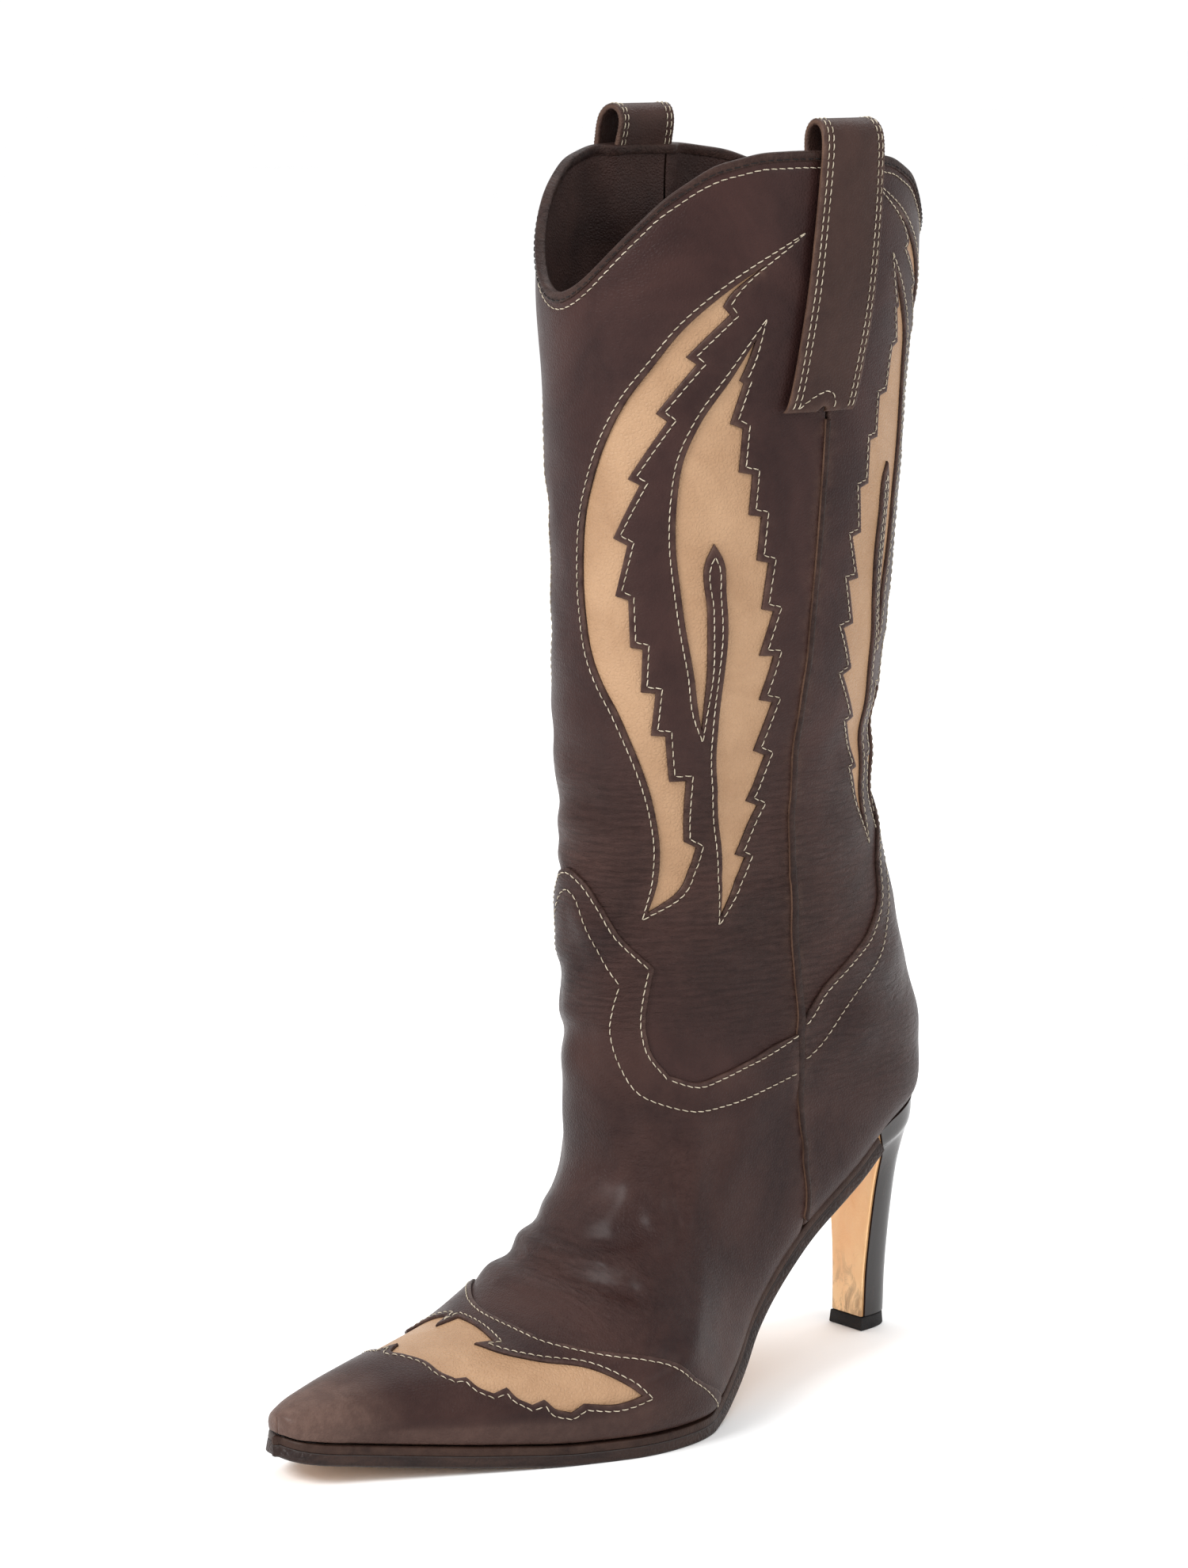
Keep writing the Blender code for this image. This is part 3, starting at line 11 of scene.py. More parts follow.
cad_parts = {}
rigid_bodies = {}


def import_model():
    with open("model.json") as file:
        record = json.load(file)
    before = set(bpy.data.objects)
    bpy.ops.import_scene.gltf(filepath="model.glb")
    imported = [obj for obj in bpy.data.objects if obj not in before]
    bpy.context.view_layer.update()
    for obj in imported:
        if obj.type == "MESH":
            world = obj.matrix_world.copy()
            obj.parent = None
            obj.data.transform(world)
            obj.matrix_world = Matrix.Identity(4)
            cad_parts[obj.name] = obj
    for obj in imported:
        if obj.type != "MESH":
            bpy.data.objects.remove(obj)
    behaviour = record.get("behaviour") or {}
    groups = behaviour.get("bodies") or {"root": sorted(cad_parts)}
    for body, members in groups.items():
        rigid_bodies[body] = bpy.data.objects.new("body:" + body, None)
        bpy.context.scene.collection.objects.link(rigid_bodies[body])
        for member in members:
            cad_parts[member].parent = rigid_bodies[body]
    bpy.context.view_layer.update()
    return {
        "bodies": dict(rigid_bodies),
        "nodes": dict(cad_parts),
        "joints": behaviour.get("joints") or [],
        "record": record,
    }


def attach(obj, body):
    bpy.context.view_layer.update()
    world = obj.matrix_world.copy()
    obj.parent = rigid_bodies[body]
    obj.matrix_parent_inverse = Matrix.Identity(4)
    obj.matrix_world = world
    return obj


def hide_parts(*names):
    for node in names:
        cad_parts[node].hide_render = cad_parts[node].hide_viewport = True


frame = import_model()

# Tall pointed-toe cowboy boot: detailed leather, thread and sole pieces in place of its
# plain solids.  Lengths are in millimetres until a mesh is made; +Z up, toe towards -Y,
# outer side towards +X, the origin under the middle of the heel tip.

MM = 0.001

# ---------------------------------------------------------------- boot shape
# Fan of cross-sections, toe tip first.  Each row, in millimetres:
# front/top edge Y Z, bottom/back edge Y Z, half width outer side, half width inner
# side, sideways shift, roundness of the top half, squareness of the bottom half,
# share of the section depth at which it is widest.
SECTIONS = np.array([
    (-248.5, 21.0, -248.5, 13.8, 0.0, 0.0, 0.0, 2.0, 2.6, 0.55),
    (-247.9, 21.5, -246.5, 13.0, 6.0, 6.0, 0.0, 2.0, 3.0, 0.57),
    (-242.5, 23.5, -241.5, 12.0, 10.0, 10.0, 0.0, 2.0, 4.0, 0.60),
    (-231.5, 26.8, -231.0, 10.6, 15.0, 14.0, 0.5, 2.0, 6.0, 0.62),
    (-212.7, 30.3, -212.0, 8.3, 24.5, 21.0, 1.0, 2.0, 6.5, 0.65),
    (-191.5, 33.3, -190.0, 6.2, 36.5, 28.0, 1.0, 2.0, 6.5, 0.66),
    (-171.3, 37.5, -166.0, 4.8, 48.5, 34.0, 1.0, 2.0, 6.5, 0.67),
    (-154.3, 46.0, -142.0, 4.8, 57.0, 37.5, 1.0, 2.0, 6.5, 0.67),
    (-141.8, 56.0, -120.0, 4.8, 56.5, 37.0, 1.0, 2.0, 6.5, 0.64),
    (-131.8, 67.0, -98.0, 11.2, 45.5, 33.5, 1.0, 2.0, 6.5, 0.60),
    (-125.8, 78.0, -77.0, 27.0, 34.6, 31.5, 1.0, 2.1, 6.5, 0.58),
    (-126.3, 97.0, -52.0, 47.3, 31.0, 30.5, 1.0, 2.2, 6.0, 0.58),
    (-127.8, 110.0, -25.0, 64.5, 31.2, 30.8, 0.5, 2.2, 5.5, 0.58),
    (-128.1, 122.0, -9.0, 74.0, 31.2, 30.8, 0.0, 2.2, 4.4, 0.56),
    (-128.4, 132.0, 11.0, 85.5, 32.0, 31.5, 0.0, 2.2, 3.0, 0.54),
    (-128.3, 143.0, 16.8, 100.0, 33.4, 32.8, 0.0, 2.2, 2.3, 0.52),
    (-128.8, 156.0, 15.7, 118.0, 34.0, 33.5, 0.0, 2.2, 2.0, 0.50),
    (-128.5, 175.0, 4.8, 148.0, 34.0, 34.0, 0.0, 2.1, 2.0, 0.50),
    (-128.5, 196.0, -6.4, 184.0, 35.1, 35.1, 0.0, 2.1, 2.0, 0.50),
    (-129.0, 214.0, -8.6, 211.0, 37.8, 37.8, 0.5, 2.1, 2.0, 0.50),
    (-129.3, 240.0, -5.6, 240.0, 41.8, 41.8, 1.0, 2.05, 2.0, 0.50),
    (-129.8, 270.0, -5.0, 270.0, 45.2, 45.2, 1.5, 2.0, 2.0, 0.50),
    (-131.0, 300.0, -3.6, 300.0, 47.8, 47.8, 2.0, 2.0, 2.0, 0.50),
    (-132.0, 330.0, -1.7, 330.0, 49.2, 49.2, 2.0, 2.0, 2.0, 0.50),
    (-133.8, 360.0, 1.0, 360.0, 51.8, 51.8, 2.0, 2.0, 2.0, 0.50),
    (-130.5, 388.0, 0.8, 388.0, 51.5, 51.5, 2.0, 2.0, 2.0, 0.50),
    (-125.0, 414.0, -1.6, 414.0, 49.8, 49.8, 2.0, 2.0, 2.0, 0.50),
])
FLAT_SECTIONS = (6, 7, 8)      # sections whose bottom edge runs level, at the ball
TIP_SPAN = 4.0                 # distance given to the first, rounded section step
HEEL_SECTION = 13              # last section whose bottom edge lies on the heel seat
SEAT_SLOPE = 0.40              # rise of the heel seat behind that section
SEAT_LIFT = ((-260.0, 1.2), (-240.0, 1.3), (-212.0, 1.5), (-190.0, 1.6), (-112.0, 1.6),
             (-85.0, 2.8), (-60.0, 3.5), (40.0, 3.5))  # sole face above the form, by Y

# Positions on the boot are (angle, along): the angle in degrees, 0 at the front or
# top, +90 on the outer side, 180 at the back or underneath, and the distance in
# millimetres from the toe tip.
MM_PER_DEGREE = 0.8            # length of one degree round the boot, roughly

# ---------------------------------------------------------------- how panels overlap
LAP_RISE = 1.2                 # how far a foot panel climbs over the shaft
LAP_WIDTH = 11.0               # width of that lap
LAP_FADE = 14.0                # distance over which the climb dies out
WING_DIP = 0.45                # how far the vamp sinks under the toe wing
DIP_FADE = 4.0                 # distance over which it comes back up
LINING_FRONT = 24.0            # along at the front edge of the foot lining
LINING_GAP = 0.7               # foot lining below the foot of the shaft

# ---------------------------------------------------------------- seams and edges
FRONT_CENTRE = -6.0            # angle of the front centre line of the shaft
BACK_CENTRE = 174.0
SEAM_HALF_GAP = 0.4            # millimetres from the seam line to a shaft panel
PIPING_GAP = 0.35              # millimetres from the seam line to a foot panel
SEAM = ((188.0, 133.0), (197.0, 121.0), (205.0, 109.0), (216.0, 98.0), (227.0, 91.0),
        (238.0, 85.5), (250.0, 83.0), (276.0, 84.0), (305.0, 87.5), (332.0, 89.5),
        (359.0, 89.0), (400.0, 88.0), (456.0, 88.0), (549.0, 88.0))
TOPLINE = ((-6.0, 492.4), (1.0, 493.8), (8.0, 497.6), (15.0, 503.6), (22.0, 510.4),
           (34.0, 522.4), (48.0, 532.2), (62.0, 536.0), (74.0, 536.5), (82.0, 536.3),
           (96.0, 536.0), (112.0, 533.5), (126.0, 528.0), (140.0, 517.0), (158.0, 507.0),
           (174.0, 504.0))
EDGE_INSET = 0.7               # top edge of the panels below the binding's fold
VAMP_TOP = ((81.5, 251.0), (76.0, 244.5), (69.0, 235.0), (63.0, 226.5), (55.0, 220.0),
            (46.0, 219.5), (40.0, 225.0), (36.5, 235.0), (36.0, 252.0), (38.0, 262.5),
            (26.0, 272.0), (16.0, 284.0), (5.0, 293.5), (-6.0, 297.0))
VAMP_SIDE = 250.0              # along where the vamp and the counter end at the seams
COUNTER_SIDE = 253.0
SHAFT_FRONT_FOOT = ((83.0, 240.0), (75.0, 228.0), (63.0, 215.5), (48.0, 211.0),
                    (34.0, 215.0), (28.0, 226.0), (27.0, 250.0), (17.0, 264.0),
                    (8.0, 278.0), (-6.0, 286.0))
COUNTER_TOP = ((83.5, 254.5), (91.0, 264.5), (104.0, 278.0), (117.0, 288.0),
               (126.0, 297.0), (137.0, 312.0), (152.0, 324.0), (174.0, 331.0))
SHAFT_BACK_FOOT = ((83.5, 243.0), (93.0, 253.5), (107.0, 268.0), (120.0, 279.5),
                   (130.0, 289.5), (141.0, 303.0), (155.0, 314.0), (174.0, 321.0))
WING_REAR = ((-130.0, 131.0), (-105.0, 127.0), (-80.0, 121.0), (-60.0, 114.0),
             (-46.0, 108.0), (-30.0, 99.0), (-12.0, 90.5), (6.0, 86.5), (18.0, 86.5),
             (33.0, 88.5), (46.0, 94.5), (56.0, 101.5), (64.0, 108.5), (77.0, 117.0),
             (101.0, 124.5), (130.0, 130.5))
WING_LAP = 3.2                 # vamp running forward under the wing
TOE_CENTRE = -14.0             # angle of the middle of the toe ornament
TOE_OUTER_SHARE = 0.9          # the inner-side half is this much narrower
TOE_CUT_REAR = ((-14.0, 72.0), (-9.0, 80.0), (4.0, 79.0), (21.5, 76.0), (18.5, 70.5),
                (31.0, 73.5), (43.0, 80.0), (57.0, 91.0), (71.0, 97.0), (84.0, 101.0))
TOE_CUT_FRONT = ((85.0, 93.0), (79.0, 84.0), (84.5, 80.0), (81.0, 76.5), (71.5, 74.0),
                 (74.5, 70.0), (69.0, 67.5), (58.0, 66.0), (61.5, 61.5), (56.0, 59.0),
                 (44.0, 57.5), (43.5, 54.5), (36.0, 52.5), (20.0, 52.0), (6.0, 50.0),
                 (-6.0, 49.0), (-14.0, 55.0))
TOE_INLAY_OUTLINE = ((-14.0, 81.5), (4.0, 81.0), (30.0, 80.5), (42.0, 85.5), (55.0, 93.5),
                     (69.0, 100.0), (86.0, 103.5), (92.0, 96.0), (91.0, 80.0), (82.0, 70.0),
                     (72.0, 61.0), (60.0, 53.0), (46.0, 48.5), (20.0, 46.0), (-4.0, 43.5),
                     (-14.0, 43.5))

# Feather cut-outs of the outer front quarter of the shaft, and how the same pattern is
# placed on the other quarters.  In front, on the inner side: the angle an edge at the
# first angle lands on, and the share of width.
PATTERN_FRONT = (-2.5, -24.0, -0.70)
# At the back: height in front and height there, the sideways bend at that height, and the
# angle from the seam beyond which the pattern is drawn together, with its share.
PATTERN_RISE = ((270.0, 305.0), (283.0, 316.0), (310.6, 338.6), (329.6, 354.1),
                (346.7, 370.3), (364.4, 385.9), (394.1, 415.4), (424.5, 445.6),
                (452.2, 474.2), (509.0, 524.0), (520.0, 533.0))
PATTERN_BEND = ((320.0, 15.5), (339.0, 15.0), (354.0, 14.5), (370.0, 9.0), (386.0, 5.0),
                (400.0, 3.0), (415.0, 1.5), (431.0, 0.0), (460.0, 0.6), (474.0, 2.7))
PATTERN_NEAR = (30.0, 0.85)
OUTER_FEATHER = ((64.6, 501.8), (59.3, 498.1), (52.4, 492.6), (43.0, 484.0), (32.0, 471.0),
                 (23.0, 460.5), (14.0, 446.5), (9.0, 436.0), (4.5, 424.0), (3.0, 410.0),
                 (4.0, 396.0), (7.0, 384.0), (14.0, 372.0), (22.0, 362.5), (31.0, 348.0),
                 (38.0, 331.5), (41.0, 316.0), (40.5, 300.0), (36.5, 283.9), (47.6, 295.4),
                 (52.2, 306.5), (54.1, 313.3), (49.9, 315.3), (50.3, 338.8), (44.2, 338.5),
                 (41.4, 355.1), (36.0, 355.3), (36.3, 369.3), (30.8, 369.7), (30.5, 383.5),
                 (25.7, 384.1), (24.2, 398.8), (18.9, 400.0), (23.3, 416.0), (17.6, 418.0),
                 (27.7, 435.0), (23.3, 436.7), (37.0, 454.8), (33.2, 457.2), (46.1, 472.3),
                 (42.8, 474.5), (55.7, 487.5), (53.6, 490.0), (54.5, 491.9))
INNER_FEATHER = ((63.6, 479.5), (57.0, 468.0), (47.5, 454.0), (42.5, 443.0), (40.5, 430.0),
                 (40.5, 416.0), (42.5, 403.0), (45.0, 391.0), (49.0, 376.0), (52.5, 362.0),
                 (54.0, 357.0), (53.5, 376.0), (52.0, 395.0), (50.5, 411.0), (53.0, 416.5),
                 (56.0, 412.0), (58.0, 400.0), (59.5, 388.0), (59.5, 374.0), (60.0, 352.0),
                 (62.0, 332.0), (63.0, 310.0), (61.1, 287.3), (67.4, 302.3), (71.0, 310.6),
                 (67.6, 311.5), (76.5, 329.6), (72.3, 331.1), (78.2, 346.7), (73.7, 348.5),
                 (77.9, 364.4), (73.1, 365.5), (75.7, 379.8), (70.7, 380.2), (74.2, 394.1),
                 (70.0, 395.1), (71.2, 409.7), (67.2, 410.7), (67.7, 424.5), (63.6, 425.2),
                 (64.1, 437.8), (59.8, 438.7), (60.7, 452.2), (56.7, 453.8), (60.5, 466.2),
                 (59.2, 467.0), (61.5, 472.7))
BACKING = ((69.0, 505.0), (60.0, 502.5), (40.0, 489.0), (25.0, 472.0), (10.0, 454.0),
           (0.0, 436.0), (-5.0, 416.0), (-4.0, 394.0), (2.0, 376.0), (14.0, 360.0),
           (25.0, 345.0), (31.0, 328.0), (32.0, 302.0), (29.0, 280.0), (36.0, 274.5),
           (62.0, 277.0), (71.0, 290.0), (79.0, 306.0), (84.0, 330.0), (84.0, 356.0),
           (82.0, 385.0), (79.0, 412.0), (75.0, 440.0), (72.0, 466.0), (72.0, 490.0),
           (71.5, 500.0))

# ---------------------------------------------------------------- pull straps
STRAP_HALF = 13.0              # half width of a pull strap
STRAP_MM_PER_DEGREE = 1.14     # length of one degree on the side of the shaft
STRAP_TAIL_T = 457.0           # along at the tail, sewn to the outside
STRAP_TAIL_ANGLE = 83.0
STRAP_TOP_ANGLE = 91.0
STRAP_RISE_T = 536.0           # along at which a strap reaches its top angle
STRAP_PEAKS = (546.0, 549.0)   # top of the outer and of the inner strap
STRAP_OUT = 2.8                # middle of the strap, off the boot shape

# ---------------------------------------------------------------- sole stack
# Heights of the sole layers from the underside of the upper, millimetres.
EDGE_LIFT = 0.6                # lower edge of the upper above the seat
WELT_LAYER = (-2.6, 0.0)
OUTSOLE_LAYER = (-6.4, -2.95)
SOCK_LAYER = (2.75, 3.6)
SOLE_PROUD = 2.5               # sole edge standing out from the upper at the forepart
SOLE_WAIST_PROUD = -0.6        # the same at the waist, tucked under
WAIST_START = (-120.0, -85.0)  # Y range over which the sole edge draws in
WELT_WIDTH = 6.5
WELT_TOE = 14.0                # length over which the welt turns round the toe
WELT_SHARE = 0.62              # at most this share of the half width of the sole
SOCK_INSET = 7.2
SOLE_STEP = 3.0                # mean spacing of the rows of a sole layer
SOLE_END = -16.4               # Y where the outsole meets the heel breast
INSOLE_BACK = 7.0              # Y of the rear end of the insole board
TOE_ROUND = 9.0                # length of the round front end of a sole layer
HEEL_ROUND = 22.0              # and of its round rear end
TOE_INSIDE = -239.0            # Y of the front end of the insole board

# ---------------------------------------------------------------- heel
# Heel core rings: height at Y 0, tilt, half width, breast Y, back Y.
HEEL_RINGS = ((4.9, 0.0, 6.2, -5.4, 6.2), (20.0, 0.0, 6.6, -5.1, 6.6),
              (34.0, 0.0, 7.8, -4.7, 7.3), (48.0, 0.0, 9.8, -4.6, 8.0),
              (57.0, 0.05, 11.8, -4.9, 8.4), (63.5, 0.18, 14.2, -6.0, 9.0),
              (69.5, 0.32, 17.2, -8.4, 9.8), (73.5, 0.42, 20.0, -11.4, 10.4))
HEEL_SEAT = (21.6, -14.0, 10.4)  # half width, breast Y, back Y of the top face
HEEL_SQUARE = 2.6              # squareness of the heel seen from above
HEEL_COLUMNS = 41              # points round the back of a heel ring
COVER_GAP = 0.5                # cover over the heel core
COVER_THICK = 0.8
BREAST_GAP = 0.45
BREAST_THICK = 1.1
BREAST_MARGIN = 0.4            # facing inside the edge of the cover
SEAT_SINK = 0.45               # top of the heel below the seat
TOP_PIECE = (7.8, -7.3, 7.6, 4.5)  # half width, breast Y, back Y, thickness
TOP_PIECE_FLARE = 0.3          # the heel tip is this much narrower at its top

# ---------------------------------------------------------------- layers, stitch rows, folds
# The layers lie on each other.  Each SKIN gives a layer's inner and outer face, in
# millimetres from the boot shape.
SHAFT_SKIN = (-1.2, 0.0)
INLAY_SKIN = (-2.2, -1.1)
SHAFT_LINING_SKIN = (-3.1, -2.3)
LINING_CLOSE = 1.0             # lining nearer to the leather than that at the top edge
BULGE = 5.0                    # lining standing off over the inner ends of the straps
FOOT_SKIN = (-1.1, 0.0)
WING_SKIN = (-0.45, 0.7)
TOE_INLAY_SKIN = (-1.5, -0.35)
FOOT_LINING_SKIN = (-5.3, -3.9)
GRID = 2.3                     # spacing of the points of a detailed leather surface
FINE_GRID = 1.8                # the same on the toe wing and the pull straps
COARSE_GRID = 3.0              # and where little of it shows
LINING_GRID = 4.0              # and on the linings of the foot
SOLE_ROUND = 0.3               # rounding of the hidden edge of the welt and the outsole
LINE_STEP = 1.1                # spacing of points along cut edges and stitch rows
CORNER = 50.0                  # an outline that turns more than this has a sharp corner
EDGE_ROUND = 0.5               # rounding of a cut leather edge
BESIDE_EDGE = (0.22, 0.6)      # extra rows of points this far inside a cut edge
BESIDE_ROW = (0.45, 1.0)       # and to both sides of a stitch row
EDGE_CLEAR = 0.17              # other points stay this far from a cut edge
LINE_CLEAR = 1.3               # and grid points this far from an edge or a stitch row
SHARP_EDGE = 62.0              # leather that bends more than this shows an edge
GROOVE = (0.16, 0.42)          # depth and half width of the dent along a stitch row
STITCH_PITCH = 2.75
STITCH_LENGTH = 2.2
STITCH_SHARE = 0.82            # a stitch takes up at most this share of the pitch
# Along one stitch: place from end to end, width of the thread, height above the leather.
STITCH_FORM = np.array([(-1.0, 0.35, -0.16), (-0.72, 0.85, 0.06), (-0.3, 1.0, 0.15),
                        (0.3, 1.0, 0.15), (0.72, 0.85, 0.06), (1.0, 0.35, -0.16)])
STITCH_SLANT = 0.10            # sideways lean of the ends of a stitch
THREAD = 0.18                  # thread radius
THREAD_FLAT = 0.85             # height of the thread against its width
THREAD_SIDES = 6
MITRE = 2.1                    # a row reaches this many times its distance at a corner
# The same limit at the top tips: outer and inner feather, on one side and the other.
FEATHER_TIPS = (8.7, 3.7, 8.7, 3.7)
FEATHER_ROW = 2.0              # stitch row this far outside a feather cut-out
TOE_ROW = 1.9                  # and outside the toe cut-out
EDGE_ROW = 1.7                 # stitch row this far inside a panel's cut edge
TOPLINE_ROW = 4.6              # and below the topline
PIPING_SHOWN = 0.75            # half width of the welting in the side seam
PIPING_SKIN = (-0.3, 1.35)
VAMP_ROW = ((85.0, 236.0), (78.0, 226.0), (65.5, 214.5), (54.5, 208.0), (46.0, 206.6),
            (36.5, 207.4), (26.5, 217.6), (22.5, 226.0), (22.5, 243.5), (25.0, 253.7),
            (17.0, 261.6), (8.0, 275.0), (-2.0, 286.3), (-6.0, 287.5))
COUNTER_ROW = ((86.0, 242.0), (94.5, 255.0), (106.5, 268.0), (121.0, 282.0),
               (132.5, 294.0), (141.5, 304.0), (155.0, 313.0), (174.0, 319.0))
BINDING_RINGS = 240
BINDING_STITCH = 1.9           # dark stitch row below the topline
# Folded binding: height above the topline and depth, round its cross-section.
BINDING_PROFILE = ((-2.5, -0.05), (-2.55, 0.35), (-2.3, 0.55), (-1.9, 0.62), (-1.2, 0.7),
                   (-0.3, 0.72), (0.25, 0.55), (0.6, 0.15), (0.75, -0.5), (0.75, -1.3),
                   (0.6, -2.0), (0.25, -2.45), (-0.3, -2.62), (-2.2, -2.66), (-2.5, -2.5),
                   (-2.5, -2.2), (-0.55, -2.1), (-0.55, -0.05))
STRAP_START = 5.0              # layout distance given to the tail end of a pull strap
STRAP_SKIN = (-0.9, 1.1)
STRAP_NOTCH = 1.6              # radius of the nick in the tail
STRAP_ROWS = (1.6, 3.4)        # stitch rows this far inside a strap's edge
SOLE_SHIFT = 270.0             # added to Y in the layout of a sole piece
HEEL_FINE = 6                  # rows of the heel surface between two rings

# ---------------------------------------------------------------- set and finishes
FLOOR_HALF = 30000.0
FLOOR_TONES = ((0.94, 0.94, 0.94, 1.0), (0.97, 0.97, 0.97, 1.0))
CAMERA = (1.0184, -1.0082, 0.4457)  # metres
CAMERA_AZIMUTH = 48.94         # degrees from the toe direction towards the outer side
CAMERA_DOWN = 10.24            # degrees below the level
CAMERA_LENS = 99.62
LIT = (0.0, -0.11, 0.20)       # the lights are aimed here, metres
WORLD_COLOUR = (1.0, 1.0, 1.0, 1.0)
WORLD_STRENGTH = 1.06
LEATHER_SPECULAR = 0.2         # plain leather, board and rubber
GLAZED_SPECULAR = 0.07         # the dark leather under its glaze
GLAZE = 0.12
GLAZE_ROUGHNESS = 0.31
GRAIN_BUMP = 0.00034           # height in metres of the grain of the dark leather
WRINKLE = 6.5                  # wrinkles of the worn leather against its grain
CREASE_DEPTH = 1.3             # factor on the depth of every crease
CREASE_BANK = 0.45             # height of the banks beside a crease against its depth
# Name, degrees to the right of the camera, degrees up, distance, size in metres, watts.
LAMPS = (("key", -50.0, 38.0, 2.2, 0.8, 36.0), ("fill", 55.0, 25.0, 2.2, 0.9, 7.0),
         ("top", 160.0, 60.0, 1.8, 1.4, 12.0))
# Loop of a pull strap: depth, and distance below its peak, over the top and down into
# the gap between shaft and lining.
STRAP_LOOP = ((2.8, -10.0), (2.75, -6.5), (2.1, -3.2), (0.2, -0.8), (-2.2, 0.0),
              (-4.6, -0.9), (-6.1, -3.2), (-6.4, -6.5), (-6.0, -10.0), (-5.5, -14.0),
              (-5.1, -19.0), (-4.9, -27.0))


# ================================================================= small helpers
def eased(share):
    """Smooth step from 0 to 1."""
    return share * share * (3 - 2 * share)


def ramp(value, low, high):
    return eased(np.clip((np.asarray(value, float) - low) / (high - low), 0.0, 1.0))


def bell(value, centre, width):
    return np.exp(-((np.asarray(value, float) - centre) / width) ** 2)


def wrapped(angle):
    return (np.asarray(angle, float) + 180.0) % 360.0 - 180.0


def unit(vectors):
    return vectors / np.maximum(np.linalg.norm(vectors, axis=-1, keepdims=True), 1e-9)


def to_right(way):
    """Unit vectors square to directions in a plane, to their right."""
    way = unit(way)
    return np.stack([way[:, 1], -way[:, 0]], axis=1)


def read(table, at):
    """Second column of a table at places along its first."""
    table = np.asarray(table, float)
    return np.interp(at, table[:, 0], table[:, 1])


def read_path(at, length, rows):
    """Rows of a path at places along its length."""
    return np.stack([np.interp(at, length, column) for column in rows.T], axis=-1)


def lengths(path):
    """Length from the start to every point of a path."""
    steps = np.linalg.norm(np.diff(path, axis=0), axis=1)
    return np.concatenate([[0.0], np.cumsum(steps)])


def spaced(low, high, step):
    """Evenly spaced values from low to high, about a step apart."""
    return np.linspace(low, high, max(2, math.ceil(abs(high - low) / step)) + 1)


# ================================================================= boot form
def section_knots():
    """Distance along the boot and slope of every section value."""
    front = np.linalg.norm(np.diff(SECTIONS[:, 0:2], axis=0), axis=1)
    back = np.linalg.norm(np.diff(SECTIONS[:, 2:4], axis=0), axis=1)
    span = 0.5 * (front + back)
    span[0] = TIP_SPAN
    knots = np.concatenate([[0.0], np.cumsum(span)])
    span = span[:, None]
    slope = np.diff(SECTIONS, axis=0) / span
    tangent = np.zeros_like(SECTIONS)
    tangent[1:-1] = (slope[:-1] * span[1:] + slope[1:] * span[:-1]) / (span[1:] + span[:-1])
    tangent[0] = 1.5 * slope[0] - 0.5 * tangent[1]
    tangent[-1] = 1.5 * slope[-1] - 0.5 * tangent[-2]
    tangent[0, 0] = 0.0
    tangent[0, 2] = 0.0
    for index in FLAT_SECTIONS:
        tangent[index, 3] = 0.0
    return knots, tangent


KNOTS, TANGENTS = section_knots()


def section(along):
    """Section values at a distance along the boot."""
    along = np.clip(np.asarray(along, float), 0.0, KNOTS[-1])
    i = np.clip(np.searchsorted(KNOTS, along, side="right") - 1, 0, len(KNOTS) - 2)
    span = (KNOTS[i + 1] - KNOTS[i])[..., None]
    s = (along - KNOTS[i])[..., None] / span
    rise = eased(s)
    return (SECTIONS[i] * (1 - rise) + SECTIONS[i + 1] * rise
            + span * (s * (1 - s) ** 2 * TANGENTS[i] - s * s * (1 - s) * TANGENTS[i + 1]))


def form(angle, along):
    """Point of the bare boot shape, millimetres."""
    q = section(along)
    turn = np.radians(angle)
    c, s = np.cos(turn), np.sin(turn)
    blend = eased(np.clip((c + 0.35) / 0.7, 0.0, 1.0))
    power = q[..., 8] + (q[..., 7] - q[..., 8]) * blend
    reach = (np.abs(c) ** power + np.abs(s) ** power) ** (-1.0 / power)
    half = np.where(s >= 0, q[..., 4], q[..., 5])
    widest = q[..., 9]
    share = np.where(c >= 0, widest * (1 - reach * c), widest - (1 - widest) * reach * c)
    x = q[..., 6] + reach * s * half
    y = q[..., 0] + (q[..., 2] - q[..., 0]) * share
    z = q[..., 1] + (q[..., 3] - q[..., 1]) * share
    return np.stack([x, y, z], axis=-1)


def form_normal(angle, along):
    """Outward unit normal of the boot shape."""
    along = np.clip(along, 0.5, KNOTS[-1] - 0.3)
    step_along, step_angle = 0.25, 0.6
    rise = form(angle, along + step_along) - form(angle, along - step_along)
    turn = form(angle + step_angle, along) - form(angle - step_angle, along)
    return unit(np.cross(turn, rise))


def on_form(angle, along, depth):
    """Point at a depth from the boot shape, millimetres."""
    angle, along = np.asarray(angle, float), np.asarray(along, float)
    depth = np.broadcast_to(np.asarray(depth, float), along.shape)
    point = form(angle, along) + form_normal(angle, along) * depth[..., None]
    tip = along <= 0.0
    point[..., 0] = np.where(tip, 0.0, point[..., 0])
    return point


def seat_curve():
    """Underside line of the upper seen from the side: rows of Y and Z."""
    along = np.linspace(0.0, KNOTS[HEEL_SECTION], 160)
    q = section(along)
    line = q[:, 2:4]
    end = line[-1]
    beyond = np.array([(end[0] + d, end[1] + SEAT_SLOPE * d) for d in (10.0, 20.0, 40.0)])
    before = np.array([(line[0, 0] - 10.0, line[0, 1])])
    curve = np.concatenate([before, line, beyond])
    curve[:, 1] += read(SEAT_LIFT, curve[:, 0])
    return curve


SEAT = seat_curve()


def seat_height(y):
    return read(SEAT, y)


# ================================================================= outlines
def laid(points):
    """Layout coordinates of (angle, along) points."""
    return [(a * MM_PER_DEGREE, t) for a, t in points]


